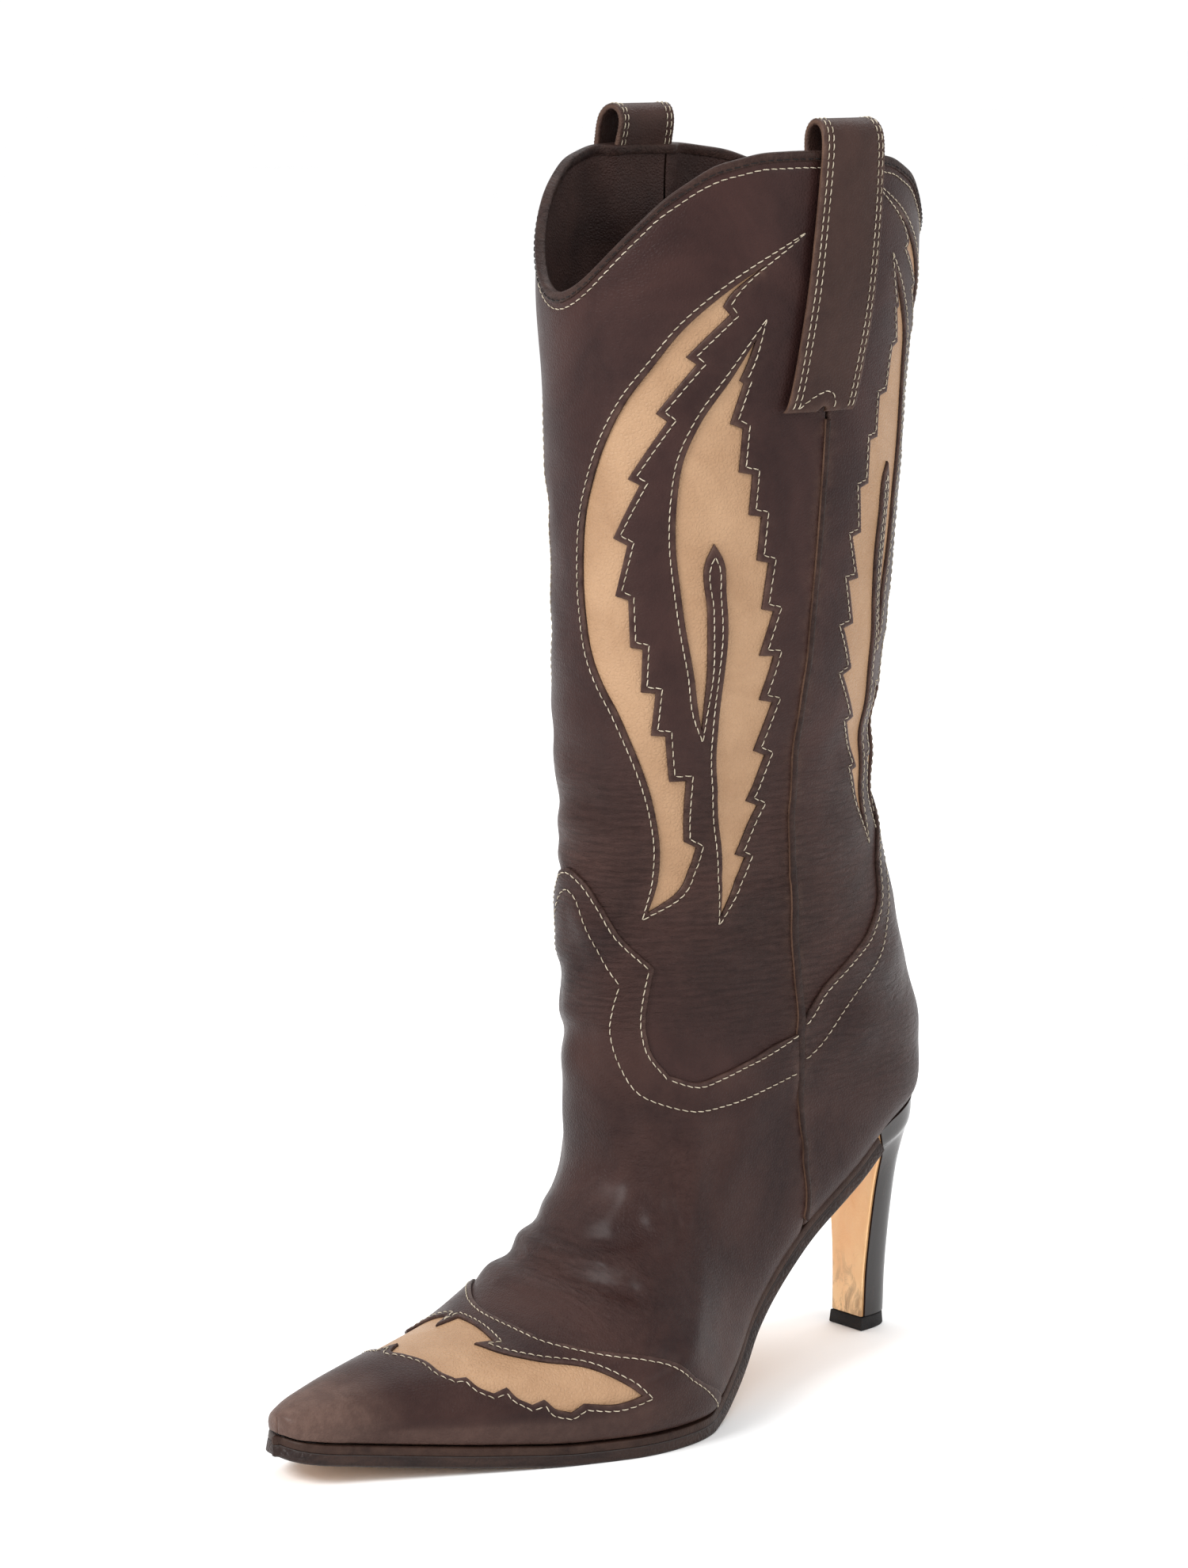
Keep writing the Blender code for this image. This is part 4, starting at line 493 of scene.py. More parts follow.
def turned_on(points):
    """The same points with angles one turn further."""
    return [(a + 360.0, t) for a, t in points]


def inside(points, loop):
    """Even-odd test of many points against one closed loop."""
    x, y = points[:, 0], points[:, 1]
    result = np.zeros(len(points), bool)
    for a, b in zip(loop, np.roll(loop, -1, axis=0)):
        cross = (a[1] > y) != (b[1] > y)
        if cross.any():
            level = a[0] + (y - a[1]) * (b[0] - a[0]) / np.where(b[1] == a[1], 1.0, b[1] - a[1])
            result ^= cross & (x < level)
    return result


def distance(points, line, closed=False):
    """Distance of many points from a polyline."""
    best = np.full(len(points), np.inf)
    ends = np.roll(line, -1, axis=0) if closed else line[1:]
    for a, b in zip(line, ends):
        side = b - a
        share = np.clip(((points - a) @ side) / max(side @ side, 1e-12), 0.0, 1.0)
        best = np.minimum(best, np.linalg.norm(points - a - share[:, None] * side, axis=1))
    return best


def mirrored(points, centre):
    return [(2 * centre - a, t) for a, t in points]


def both_sides(points, centre):
    """A half line that ends on the centre, continued by its mirror image."""
    return list(points) + mirrored(points[-2::-1], centre)


def seam_angle(along):
    return read(SEAM, along)


def seam_line(t_from, t_to, shift, inner_side, step=12.0):
    """Seam as (angle, along) points, shifted sideways by millimetres towards the back."""
    line = []
    for along in spaced(t_from, t_to, step):
        half = max(float(section(along)[4]), 1.0)
        angle = float(seam_angle(along)) + math.degrees(shift / (half * 1.15))
        if inner_side:
            angle = 2 * FRONT_CENTRE - angle
        line.append((angle, float(along)))
    return line


def topline_t(angle):
    turned = (np.asarray(angle, float) - FRONT_CENTRE + 180.0) % 360.0 - 180.0 + FRONT_CENTRE
    return read(sorted(both_sides(TOPLINE[::-1], FRONT_CENTRE)), turned)


def topline(angle_from, angle_to, drop, step=8.0):
    return [(float(a), float(topline_t(a)) - drop) for a in spaced(angle_from, angle_to, step)]


def lasting_angle(along, depth, inner_side):
    """Angle at which a layer at this depth comes down to the sole."""
    sign = -1.0 if inner_side and along > 0.0 else 1.0
    angles = np.linspace(70.0, 180.0, 441)
    points = on_form(sign * angles, np.full_like(angles, along), depth)
    low = points[:, 2] - seat_height(points[:, 1]) < EDGE_LIFT
    if not low.any():
        return 180.0
    first = int(np.argmax(low))
    return float(angles[max(first - 1, 0)])


def heel_end():
    """Distance along the boot at which the upper closes round the back of the heel."""
    for along in np.arange(KNOTS[HEEL_SECTION] - 4.0, KNOTS[HEEL_SECTION + 2], 0.1):
        if lasting_angle(along, 0.0, False) >= 179.5:
            return float(along)
    return float(KNOTS[HEEL_SECTION + 1])


HEEL_END = heel_end()


def lasting_line(t_from, t_to, depth, inner_side, step=11.0):
    """Lower edge of the upper as (angle, along) points."""
    line = []
    for along in spaced(t_from, t_to, step):
        angle = lasting_angle(float(along), depth, inner_side)
        line.append((-angle if inner_side else angle, float(along)))
    return line


def heel_line(seam_t, inner_side, depth=0.0):
    """Lower edge of the counter, from the side seam round to the back centre."""
    share = np.sin(np.linspace(0.0, math.pi / 2, 9))
    line = []
    for along in seam_t + (HEEL_END - seam_t) * share:
        angle = lasting_angle(float(along), depth, inner_side)
        line.append((360.0 - angle if inner_side else angle, float(along)))
    return line


def front_outer(points):
    return list(points)


def front_inner(points):
    """The same pattern on the inner side of the front, drawn in towards the seam."""
    origin, target, share = PATTERN_FRONT
    return [(target + share * (a - origin), t) for a, t in points]


def back_outer(points):
    """The pattern mirrored behind the outer seam, bent and drawn together."""
    limit, share = PATTERN_NEAR
    line = []
    seam = SEAM[-1][1]
    for angle, along in points:
        level = float(read(PATTERN_RISE, along))
        away = seam - angle
        away = min(away, limit) + share * max(away - limit, 0.0)
        line.append((seam + away + float(read(PATTERN_BEND, level)), level))
    return line


def back_inner(points):
    return mirrored(back_outer(points), BACK_CENTRE)


def shaft_outline(foot, centre, back, drop=EDGE_INSET):
    """Outline of a front or back half of the shaft, outer seam first, going up."""
    shift = SEAM_HALF_GAP if back else -SEAM_HALF_GAP
    low = foot[0][1]
    outer_seam = seam_line(low, float(topline_t(88.0)) - drop, shift, False)
    inner_seam = seam_line(low, float(topline_t(-100.0)) - drop, shift, True)
    if back:
        inner_seam = turned_on(inner_seam)
    top = topline(outer_seam[-1][0], inner_seam[-1][0], drop)
    bottom = both_sides(foot, centre)
    return outer_seam + top[1:-1] + inner_seam[::-1] + bottom[-2:0:-1]


def seam_foot(inner_side, depth=1.9):
    """Distance along the boot at which the side seam reaches the sole."""
    for along in np.arange(188.0, 240.0, 0.25):
        limit = lasting_angle(float(along), depth, inner_side)
        reach = float(seam_angle(along)) - (2 * FRONT_CENTRE if inner_side else 0.0)
        if reach + 4.0 < limit:
            return float(along)
    return 200.0


def lap(line):
    """Rise of a foot panel where it laps over the shaft along this edge line."""
    edge = np.array(laid(line))

    def rise(angle, along):
        away = distance(np.stack([angle * MM_PER_DEGREE, along], axis=1), edge)
        share = np.clip(1.0 - (away - LAP_WIDTH) / LAP_FADE, 0.0, 1.0)
        return LAP_RISE * eased(share)

    return rise


def vamp_top_line():
    return both_sides(VAMP_TOP, FRONT_CENTRE)


def wing_rear_t(angle):
    return read(WING_REAR, angle)


def vamp_rise(angle, along):
    """Climbs over the shaft at the top, sinks under the toe wing at the front."""
    over = lap(vamp_top_line())(angle, along)
    ahead = wing_rear_t(angle) + DIP_FADE - along
    share = np.clip(ahead / DIP_FADE, 0.0, 1.0)
    return over - WING_DIP * eased(share)


def side_points(inner_side, shift, t_high):
    """Rear edge of a foot panel in front of the seam: sole to top."""
    low = seam_foot(inner_side, 0.0)
    return seam_line(low, t_high, shift, inner_side, 8.0)


def front_line(t_shift):
    """Wing rear edge moved forward, from the inner side to the outer side."""
    return [(a, t - t_shift) for a, t in WING_REAR]


def foot_outline(front, outer_low, outer_side, top, inner_side, inner_low):
    """Closed outline of a foot panel in front of the seams."""
    return (front + outer_low + outer_side + top[1:-1] + inner_side[::-1]
            + inner_low[::-1])


def heel_outline(outer_side, inner_side, top):
    """Closed outline of a foot panel behind the seams, down to the sole all round."""
    outer_low = heel_line(outer_side[0][1] + 3.0, False)
    inner_low = heel_line(inner_side[0][1] + 3.0, True)
    return (outer_side[::-1] + outer_low + inner_low[-2::-1] + turned_on(inner_side)
            + top[-2:0:-1])


def trimmed(line, depth):
    """Leaves out the points of a cross line that fall below the sole edge."""
    keep = []
    for angle, along in line:
        if abs(angle) < lasting_angle(along, depth, angle < 0) - 2.0:
            keep.append((angle, along))
    return keep


def toe_shape(points):
    """Outer half of a toe shape joined to its narrower inner-side half."""
    return list(points) + [(TOE_CENTRE - TOE_OUTER_SHARE * (a - TOE_CENTRE), t)
                           for a, t in points[-2:0:-1]]


def toe_start(depth, count=12):
    """Edge along the rounded tip, from the inner side to the outer side."""
    reach = lasting_angle(0.0, depth, False)
    return [(-reach + 2 * reach * i / count, 0.0) for i in range(count + 1)]


def across_toe(inner, outer, count=10):
    """Points of a straight front edge strictly between its two ends."""
    return [(inner[0] + (outer[0] - inner[0]) * i / count, inner[1]) for i in range(1, count)]


def edge_widths():
    """Half widths of the upper at the sole: rows of Y, outer side X, inner side X."""
    rows = []
    for along in np.arange(0.0, HEEL_END, 3.0):
        outer = on_form(lasting_angle(along, 0.0, False), along, 0.0)
        inner = on_form(-lasting_angle(along, 0.0, True), along, 0.0)
        rows.append((0.5 * (outer[1] + inner[1]), outer[0], inner[0]))
    return np.array(rows)


EDGE = edge_widths()


def rounded(share):
    """Width of a round end at a share of its length, never quite closed."""
    return math.sqrt(max(0.025, 1.0 - (1.0 - min(1.0, share)) ** 2))


def sole_outline(y_front, y_rear, inset, waist_inset, round_front=False, round_rear=False):
    """Closed outline in (X, Y), set in from the edge of the upper."""
    count = max(4, math.ceil((y_rear - y_front) / SOLE_STEP))
    levels = y_front + (y_rear - y_front) * (1 - np.cos(np.linspace(0, math.pi, count + 1))) / 2
    outer, inner = [], []
    for y in levels:
        amount = np.interp(y, WAIST_START, (inset, waist_inset))
        right = np.interp(y, EDGE[:, 0], EDGE[:, 1]) - amount
        left = np.interp(y, EDGE[:, 0], EDGE[:, 2]) + amount
        squeeze = 1.0
        if round_front:
            squeeze *= rounded((y - y_front) / TOE_ROUND)
        if round_rear:
            squeeze *= rounded((y_rear - y) / HEEL_ROUND)
        middle, half = 0.5 * (right + left), 0.5 * (right - left) * squeeze
        outer.append((middle + half, y))
        inner.append((middle - half, y))
    return outer, inner


def sole_point(x, y, height):
    """Point above or below the underside of the upper, square to it."""
    step = 2.0
    slope = (seat_height(y + step) - seat_height(y - step)) / (2 * step)
    scale = 1.0 / np.sqrt(1.0 + slope ** 2)
    return np.stack([x, y - height * slope * scale, seat_height(y) + height * scale], axis=-1)


def heel_ring(height, tilt, half, breast, back, grow=0.0, seat=False):
    """Anticlockwise ring: round back from the outer side, then the flat breast."""
    turn = np.linspace(0.0, math.pi, HEEL_COLUMNS)
    power = 2.0 / HEEL_SQUARE
    x = (half + grow) * np.sign(np.cos(turn)) * np.abs(np.cos(turn)) ** power
    y = breast + (back + grow - breast) * np.abs(np.sin(turn)) ** power
    flat_x = np.linspace(-(half + grow), half + grow, 6)[1:-1]
    x = np.concatenate([x, flat_x])
    y = np.concatenate([y, np.full(4, breast)])
    z = seat_height(y) - SEAT_SINK if seat else height + tilt * y
    return np.stack([x, y, z], axis=1)


# ================================================================= leather surface
# Creases: width, depth, then points (angle, along).
CREASES = (
    (4.6, 1.25, ((-70, 134), (-48, 126), (-28, 119), (-6, 114), (10, 113), (26, 117), (40, 124))),
    (4.2, 0.75, ((-44, 140), (-20, 131), (0, 127), (14, 129), (28, 137), (36, 150))),
    (1.5, 0.45, ((-8, 101), (6, 99.5), (20, 104), (32, 112))),
    (1.3, 0.35, ((4, 121), (16, 120), (30, 124), (44, 132))),
    (2.2, 0.40, ((30, 128), (44, 137), (56, 150), (62, 164))),
    (6.5, 0.75, ((-95, 240), (-60, 231), (-30, 226), (0, 224), (22, 229))),
    (4.5, 0.50, ((-110, 262), (-70, 256), (-35, 253), (-5, 256), (14, 263))),
    (4.0, 0.45, ((-120, 291), (-80, 286), (-45, 288), (-22, 295))),
    (5.0, 0.55, ((-110, 322), (-75, 318), (-40, 321), (-15, 327), (8, 329))),
    (4.5, 0.35, ((-100, 352), (-65, 349), (-35, 352))),
    (5.5, 0.40, ((-95, 384), (-62, 380), (-30, 385))),
    (5.0, 0.35, ((-85, 424), (-55, 421), (-28, 426))),
    (6.0, 0.55, ((96, 262), (120, 270), (150, 276), (180, 279), (210, 276), (240, 268))),
    (5.0, 0.45, ((118, 250), (150, 256), (180, 258), (212, 255))),
    (5.0, 0.45, ((110, 344), (140, 350), (174, 352), (205, 348))),
    (2.0, 0.18, ((40, 300), (54, 303), (70, 301), (86, 305))),
    (1.8, 0.16, ((28, 330), (46, 333), (66, 331), (84, 333))),
    (1.8, 0.15, ((44, 281), (58, 283), (74, 280))),
)


def relief(angle, along):
    """Softness, folds and creases of the worn leather, millimetres outwards."""
    a = wrapped(angle)
    along = np.asarray(along, float)
    turn = np.radians(a)
    out = (0.30 * np.sin(0.041 * along + 2 * turn + 0.6) * np.sin(0.028 * along - 3 * turn + 1.9)
           + 0.15 * np.sin(0.093 * along + 3 * turn + 2.2) * np.cos(0.06 * along + 5 * turn))
    ankle = ramp(along, 205.0, 245.0) * (1.0 - ramp(along, 335.0, 420.0))
    out += 0.22 * ankle * np.sin(0.30 * along + 1.2 * np.sin(2 * turn) + 0.7)
    side = bell(a, 54.0, 26.0) + 0.8 * bell(a, -58.0, 26.0)
    fold = np.sin(2 * math.pi * (a * MM_PER_DEGREE + 0.22 * (along - 150.0)) / 18.0)
    out += 0.85 * side * fold * bell(along, 184.0, 30.0)
    points = np.stack([a * MM_PER_DEGREE, along], axis=-1).reshape(-1, 2)
    for width, depth, line in CREASES:
        shifted = [np.array(line, float) * (MM_PER_DEGREE, 1.0) + (s * 360.0 * MM_PER_DEGREE, 0.0)
                   for s in (-1, 0, 1)]
        gap = np.min([distance(points, s) for s in shifted], axis=0).reshape(a.shape)
        furrow = np.exp(-(gap / width) ** 2) - CREASE_BANK * bell(gap, 2.0 * width, width)
        out -= CREASE_DEPTH * depth * furrow
    free = ramp(along, 88.0, 118.0) * (1.0 - 0.8 * ramp(along, 500.0, 540.0))
    sole = 1.0 - ramp(np.abs(a), 74.0, 96.0) * (1.0 - ramp(along, 215.0, 250.0))
    return out * free * sole


def boot(x, along, depth):
    """Point on the boot from layout coordinates and a depth from the bare shape."""
    angle = np.asarray(x, float) / MM_PER_DEGREE
    return on_form(angle, along, np.asarray(depth, float) + relief(angle, along))


def lining_rise(angle, along):
    """The lining meets the leather at the top edge and swells over the strap ends."""
    below = topline_t(angle) - along
    close = LINING_CLOSE * (1.0 - ramp(below, 6.0, 26.0))
    return close - strap_bulge(angle) * (1.0 - ramp(below, 18.0, 52.0))


def strap_bulge(angle):
    """How far the lining stands inwards over the inner ends of the pull straps."""
    away = np.minimum(np.abs(wrapped(angle - STRAP_TOP_ANGLE)),
                      np.abs(wrapped(angle + STRAP_TOP_ANGLE)))
    return BULGE * (1.0 - ramp(away * STRAP_MM_PER_DEGREE, STRAP_HALF + 0.5, STRAP_HALF + 6.5))


# ================================================================= outlines and rows
def smooth_line(points, closed=True, step=LINE_STEP):
    """Runs of a smooth curve through layout points; a new run starts at each corner."""
    p = np.array(points, float)
    count = len(p)
    ahead = np.roll(p, -1, axis=0) - p
    length = np.maximum(np.linalg.norm(ahead, axis=1), 1e-9)
    way = ahead / length[:, None]
    before, before_length = np.roll(way, 1, axis=0), np.roll(length, 1)
    turned = np.degrees(np.arccos(np.clip(np.sum(before * way, axis=1), -1.0, 1.0)))
    corner = turned > CORNER
    if not closed:
        corner[0] = corner[-1] = True
    tangent = unit(before * length[:, None] + way * before_length[:, None])
    runs, run = [], []
    for i in range(count if closed else count - 1):
        j = (i + 1) % count
        start = way[i] if corner[i] else tangent[i]
        end = way[i] if corner[j] else tangent[j]
        if corner[i] and run:
            runs.append(run)
            run = []
        pieces = max(1, math.ceil(length[i] / step))
        s = (np.arange(pieces) / pieces)[:, None]
        run.extend(p[i] * (1 + 2 * s) * (1 - s) ** 2 + p[j] * s * s * (3 - 2 * s)
                   + length[i] * (start * s * (1 - s) ** 2 - end * s * s * (1 - s)))
    if not closed:
        runs.append(run + [p[-1]])
        return [np.array(r) for r in runs]
    if not corner.any():
        return [np.array(run + run[:1])]
    runs.append(run)
    if not corner[0]:
        runs[0] = runs.pop() + runs[0]
    starts = [r[0] for r in runs]
    return [np.array(r + [starts[(k + 1) % len(runs)]]) for k, r in enumerate(runs)]


def smooth_loop(points):
    return np.concatenate([run[:-1] for run in smooth_line(points)])


def mm_per_degree(angle, along):
    return np.linalg.norm(form(angle + 0.5, along) - form(angle - 0.5, along), axis=-1)


def offset(points, amount, closed=True, tip=MITRE):
    """Line at a distance to the right of (angle, along) points, with mitred corners.

    A corner reaches out to at most MITRE times the distance, the first one to tip times.
    """
    p = np.array(points, float)
    scale = np.maximum(mm_per_degree(p[:, 0], p[:, 1]), 0.2)
    ahead = np.roll(p, -1, axis=0) - p
    ahead[:, 0] *= 0.5 * (scale + np.roll(scale, -1))
    if not closed:
        ahead[-1] = ahead[-2]
    ahead = unit(ahead)
    before = np.roll(ahead, 1, axis=0)
    if not closed:
        before[0] = ahead[0]
    right = np.stack([ahead[:, 1] + before[:, 1], -ahead[:, 0] - before[:, 0]], axis=1)
    mitre = right / np.maximum(1.0 + np.sum(ahead * before, axis=1), 0.05)[:, None]
    length = np.linalg.norm(mitre, axis=1, keepdims=True)
    factor = np.minimum(1.0, MITRE / length)
    if tip > MITRE:
        factor[0] = tip / length[0]
    mitre *= factor
    mitre[:, 0] /= scale
    return p + mitre * amount


def outside(points, amount, tip=MITRE):
    """Closed line at a distance outside a closed (angle, along) outline."""
    p = np.array(points, float)
    q = np.roll(p, -1, axis=0)
    area = np.sum(p[:, 0] * q[:, 1] - q[:, 0] * p[:, 1])
    return offset(points, amount if area > 0 else -amount, tip=tip)


# ================================================================= meshes
def nearest(points, cloud):
    """Distance from each point to the nearest of a cloud of points."""
    tree = KDTree(len(cloud))
    for i, (x, y) in enumerate(cloud):
        tree.insert((x, y, 0.0), i)
    tree.balance()
    return np.array([tree.find((x, y, 0.0))[2] for x, y in points])


def dense(lines, step=0.3):
    """Many points along a list of polylines."""
    out = []
    for line in lines:
        for a, b in zip(line[:-1], line[1:]):
            count = max(1, math.ceil(float(np.linalg.norm(b - a)) / step))
            out.append(a + (b - a) * (np.arange(count) / count)[:, None])
        out.append(line[-1:])
    return np.concatenate(out)


def mesh_object(name, points, faces, materials, wall=None, smooth=180.0):
    """Object from millimetre points; faces from index wall on take the second material."""
    mesh = bpy.data.meshes.new(name)
    mesh.from_pydata((np.asarray(points, float) * MM).tolist(), [], faces)
    for mat in materials:
        mesh.materials.append(mat)
    if wall is not None and len(materials) > 1:
        index = np.zeros(len(mesh.polygons), np.int32)
        index[wall:] = 1
        mesh.polygons.foreach_set("material_index", index)
    obj = bpy.data.objects.new(name, mesh)
    bpy.context.scene.collection.objects.link(obj)
    mesh.shade_smooth()
    if smooth < 180.0:
        mesh.set_sharp_from_angle(angle=math.radians(smooth))
    return obj


def closed_sheet(faces, count):
    """Front faces, back faces and walls of a sheet, and the index of the first wall."""
    front = [tuple(f) for f in faces]
    edges = {}
    for f in front:
        for a, b in zip(f, f[1:] + f[:1]):
            edges[(a, b)] = True
    walls = [(b, a, a + count, b + count) for a, b in edges if (b, a) not in edges]
    back = [tuple(i + count for i in reversed(f)) for f in front]
    return front + back + walls, len(front) + len(back)


def in_region(points, loops):
    """Which points lie inside the first loop and outside the others."""
    keep = inside(points, loops[0])
    for loop in loops[1:]:
        keep &= ~inside(points, loop)
    return keep


def triangulate(loops, extra):
    """Triangles of the region inside the first loop and outside the others."""
    points, edges = [], []
    for loop in loops:
        start, count = len(points), len(loop)
        points += [tuple(p) for p in loop]
        edges += [(start + i, start + (i + 1) % count) for i in range(count)]
    points += [tuple(p) for p in extra]
    verts, _, faces, *_ = delaunay_2d_cdt([Vector(p) for p in points], edges, [], 0, 1e-5)
    verts = np.array([tuple(v) for v in verts])
    faces = np.array([tuple(f) for f in faces])
    faces = faces[in_region(verts[faces].mean(axis=1), loops)]
    a, b, c = (verts[faces[:, k]] for k in range(3))
    area = (b[:, 0] - a[:, 0]) * (c[:, 1] - a[:, 1]) - (b[:, 1] - a[:, 1]) * (c[:, 0] - a[:, 0])
    faces[area < 0] = faces[area < 0][:, ::-1]
    return verts, faces


def grid_points(loop, grid):
    low, high = loop.min(axis=0), loop.max(axis=0)
    xs = np.arange(low[0] + 0.5 * grid, high[0], grid)
    ys = np.arange(low[1] + 0.5 * grid, high[1], grid * 0.87)
    x, y = np.meshgrid(xs, ys)
    x[1::2] += 0.5 * grid
    return np.stack([x.ravel(), y.ravel()], axis=1)


def beside(lines, amounts):
    """Points at set distances to both sides of polylines."""
    out = []
    for line in lines:
        side = to_right(np.gradient(line, axis=0))
        for amount in amounts:
            out += [line + side * amount, line - side * amount]
    return np.concatenate(out)


def merge_tip(verts, faces):
    """Joins the two sides of a surface that closes along the tip, where along is 0."""
    index, order, kept = {}, np.zeros(len(verts), int), []
    for i, (x, y) in enumerate(verts):
        at_tip = y <= 1e-6
        key = (round(abs(x), 3), "tip") if at_tip else (i, "own")
        if key not in index:
            index[key] = len(kept)
            kept.append((abs(x), 0.0) if at_tip else (x, y))
        order[i] = index[key]
    faces = [f for f in order[faces].tolist() if len(set(f)) == 3]
    seen = collections.Counter(frozenset(f) for f in faces)
    return np.array(kept), [f for f in faces if seen[frozenset(f)] == 1]


def edge_drop(gap, radius):
    """How far a rounded edge falls away at a distance from the cut."""
    if radius == 0.0:
        return np.zeros_like(gap)
    near = radius - np.minimum(gap, radius)
    return radius - np.sqrt(radius ** 2 - near ** 2)


def skin(name, outline, layer, materials, holes=(), rows=(), rise=None, grid=GRID,
         place=boot, rounding=EDGE_ROUND, back_rounding=0.0, marks=None):
    """Detailed leather panel: rounded cut edges and a dent along every stitch row."""
    loops = [smooth_loop(outline)] + [smooth_loop(hole) for hole in holes]
    closed = [np.concatenate([loop, loop[:1]]) for loop in loops]
    rim = dense(closed)
    lines = [run for row in rows for run in row]
    special = [beside(closed, BESIDE_EDGE)]
    cloud = rim
    if lines:
        threads = dense(lines)
        special += [np.concatenate(lines), beside(lines, BESIDE_ROW)]
        cloud = np.concatenate([rim, threads])
    near = np.concatenate(special)
    near = near[in_region(near, loops)]
    near = near[nearest(near, rim) > EDGE_CLEAR]
    far = grid_points(loops[0], grid)
    far = far[in_region(far, loops)]
    far = far[nearest(far, cloud) > LINE_CLEAR]
    verts, faces = triangulate(loops, np.concatenate([near, far]))
    verts, faces = merge_tip(verts, faces)
    x, y = verts[:, 0], verts[:, 1]
    gap = nearest(verts, rim)
    drop = edge_drop(gap, rounding)
    if lines:
        drop = drop + GROOVE[0] * bell(nearest(verts, threads), 0.0, GROOVE[1])
    lift = 0.0 if rise is None else rise(x / MM_PER_DEGREE, y)
    outer = place(x, y, layer[1] + lift - drop)
    inner = place(x, y, layer[0] + lift + edge_drop(gap, back_rounding))
    faces, wall = closed_sheet(faces, len(verts))
    obj = mesh_object(name, np.concatenate([outer, inner]), faces, materials, wall)
    obj.data.set_sharp_from_angle(angle=math.radians(SHARP_EDGE))
    if marks is not None:
        write_marks(obj, marks(x / MM_PER_DEGREE, y), gap)
    return obj


def write_marks(obj, marks, gap):
    """Stores where the leather is wrinkled, worn and close to a cut edge."""
    ankle, worn, vamp = marks
    colour = np.stack([ankle, worn, np.exp(-gap / 1.3), vamp], axis=1)
    colour = np.concatenate([colour, colour]).astype(np.float32)
    layer = obj.data.color_attributes.new("leather", "FLOAT_COLOR", "POINT")
    layer.data.foreach_set("color", colour.ravel())


def sheet_grid(name, outer, inner, materials, smooth=60.0):
    """Closed sheet from two matching grids of points."""
    rows, columns = outer.shape[:2]
    faces = [(r * columns + c, r * columns + c + 1, (r + 1) * columns + c + 1,
              (r + 1) * columns + c) for r in range(rows - 1) for c in range(columns - 1)]
    faces, wall = closed_sheet(faces, rows * columns)
    points = np.concatenate([outer.reshape(-1, 3), inner.reshape(-1, 3)])
    return mesh_object(name, points, faces, materials, wall, smooth)


def swept(name, rings, materials, closed=False, smooth=60.0):
    """Tube through matching closed rings, joined end to end or with capped ends."""
    rings = np.asarray(rings, float)
    rows, columns = rings.shape[:2]
    last = rows if closed else rows - 1
    faces = [(r * columns + c, ((r + 1) % rows) * columns + c,
              ((r + 1) % rows) * columns + (c + 1) % columns, r * columns + (c + 1) % columns)
             for r in range(last) for c in range(columns)]
    if not closed:
        faces += [tuple(range(columns)), tuple(range(rows * columns - 1,
                                                     (rows - 1) * columns - 1, -1))]
    return mesh_object(name, rings.reshape(-1, 3), faces, materials, smooth=smooth)


# ================================================================= thread
def thread_rings(line, place, depth, rise):
    """Stitches along one run of a row: an array of rings for each stitch."""
    fine = dense([line], 0.25)
    x, y = fine[:, 0], fine[:, 1]
    lift = 0.0 if rise is None else rise(x / MM_PER_DEGREE, y)
    base = place(x, y, np.full(len(x), depth) + lift)
    above = place(x, y, np.full(len(x), depth + 0.3) + lift) - base
    along = lengths(base)
    total = along[-1]
    count = max(1, round(total / STITCH_PITCH))
    pitch = total / count
    length = min(STITCH_LENGTH, STITCH_SHARE * pitch)
    stations, width, height = STITCH_FORM.T
    centre = (np.arange(count) + 0.5) * pitch
    at = centre[:, None] + stations[None, :] * length / 2
    point = read_path(at, along, base)
    way = unit(np.gradient(point, axis=1))
    side = unit(np.cross(way, read_path(at, along, unit(above))))
    normal = np.cross(side, way)
    point = (point + normal * height[None, :, None]
             + side * (STITCH_SLANT * stations)[None, :, None])
    turn = np.arange(THREAD_SIDES) * 2 * math.pi / THREAD_SIDES
    return (point[:, :, None, :]
            + side[:, :, None, :] * (np.cos(turn)[:, None] * THREAD) * width[None, :, None, None]
            + normal[:, :, None, :] * (np.sin(turn)[:, None] * THREAD * THREAD_FLAT)
            * width[None, :, None, None])


def stitches(name, rows, material, place=boot, depth=0.0, rise=None):
    """All the stitches of several rows as one mesh."""
    rings = [thread_rings(run, place, depth, rise) for row in rows for run in row
             if np.linalg.norm(np.diff(run, axis=0), axis=1).sum() > 1.2]
    rings = np.concatenate(rings)
    count, stations, sides = rings.shape[:3]
    faces = []
    for s in range(stations - 1):
        for c in range(sides):
            faces.append((s * sides + c, s * sides + (c + 1) % sides,
                          (s + 1) * sides + (c + 1) % sides, (s + 1) * sides + c))
    faces.append(tuple(range(sides))[::-1])
    faces.append(tuple(range((stations - 1) * sides, stations * sides)))
    every = [tuple(i + k * stations * sides for i in f) for k in range(count) for f in faces]
    return mesh_object(name, rings.reshape(-1, 3), every, [material])


def closed_row(points):
    return smooth_line(laid(points))


def open_row(points):
    return smooth_line(laid(points), closed=False)


# ================================================================= materials
def rgb(red, green, blue, alpha=1.0):
    """Screen colour 0 to 255 as a linear colour."""
    c = np.array([red, green, blue]) / 255.0
    linear = np.where(c <= 0.04045, c / 12.92, ((c + 0.055) / 1.055) ** 2.4)
    return (*[float(v) for v in linear], alpha)


def feed(tree, socket, value):
    """Links a socket to another one, or gives it a fixed value."""
    if isinstance(value, bpy.types.NodeSocket):
        tree.links.new(value, socket)
    else:
        socket.default_value = value


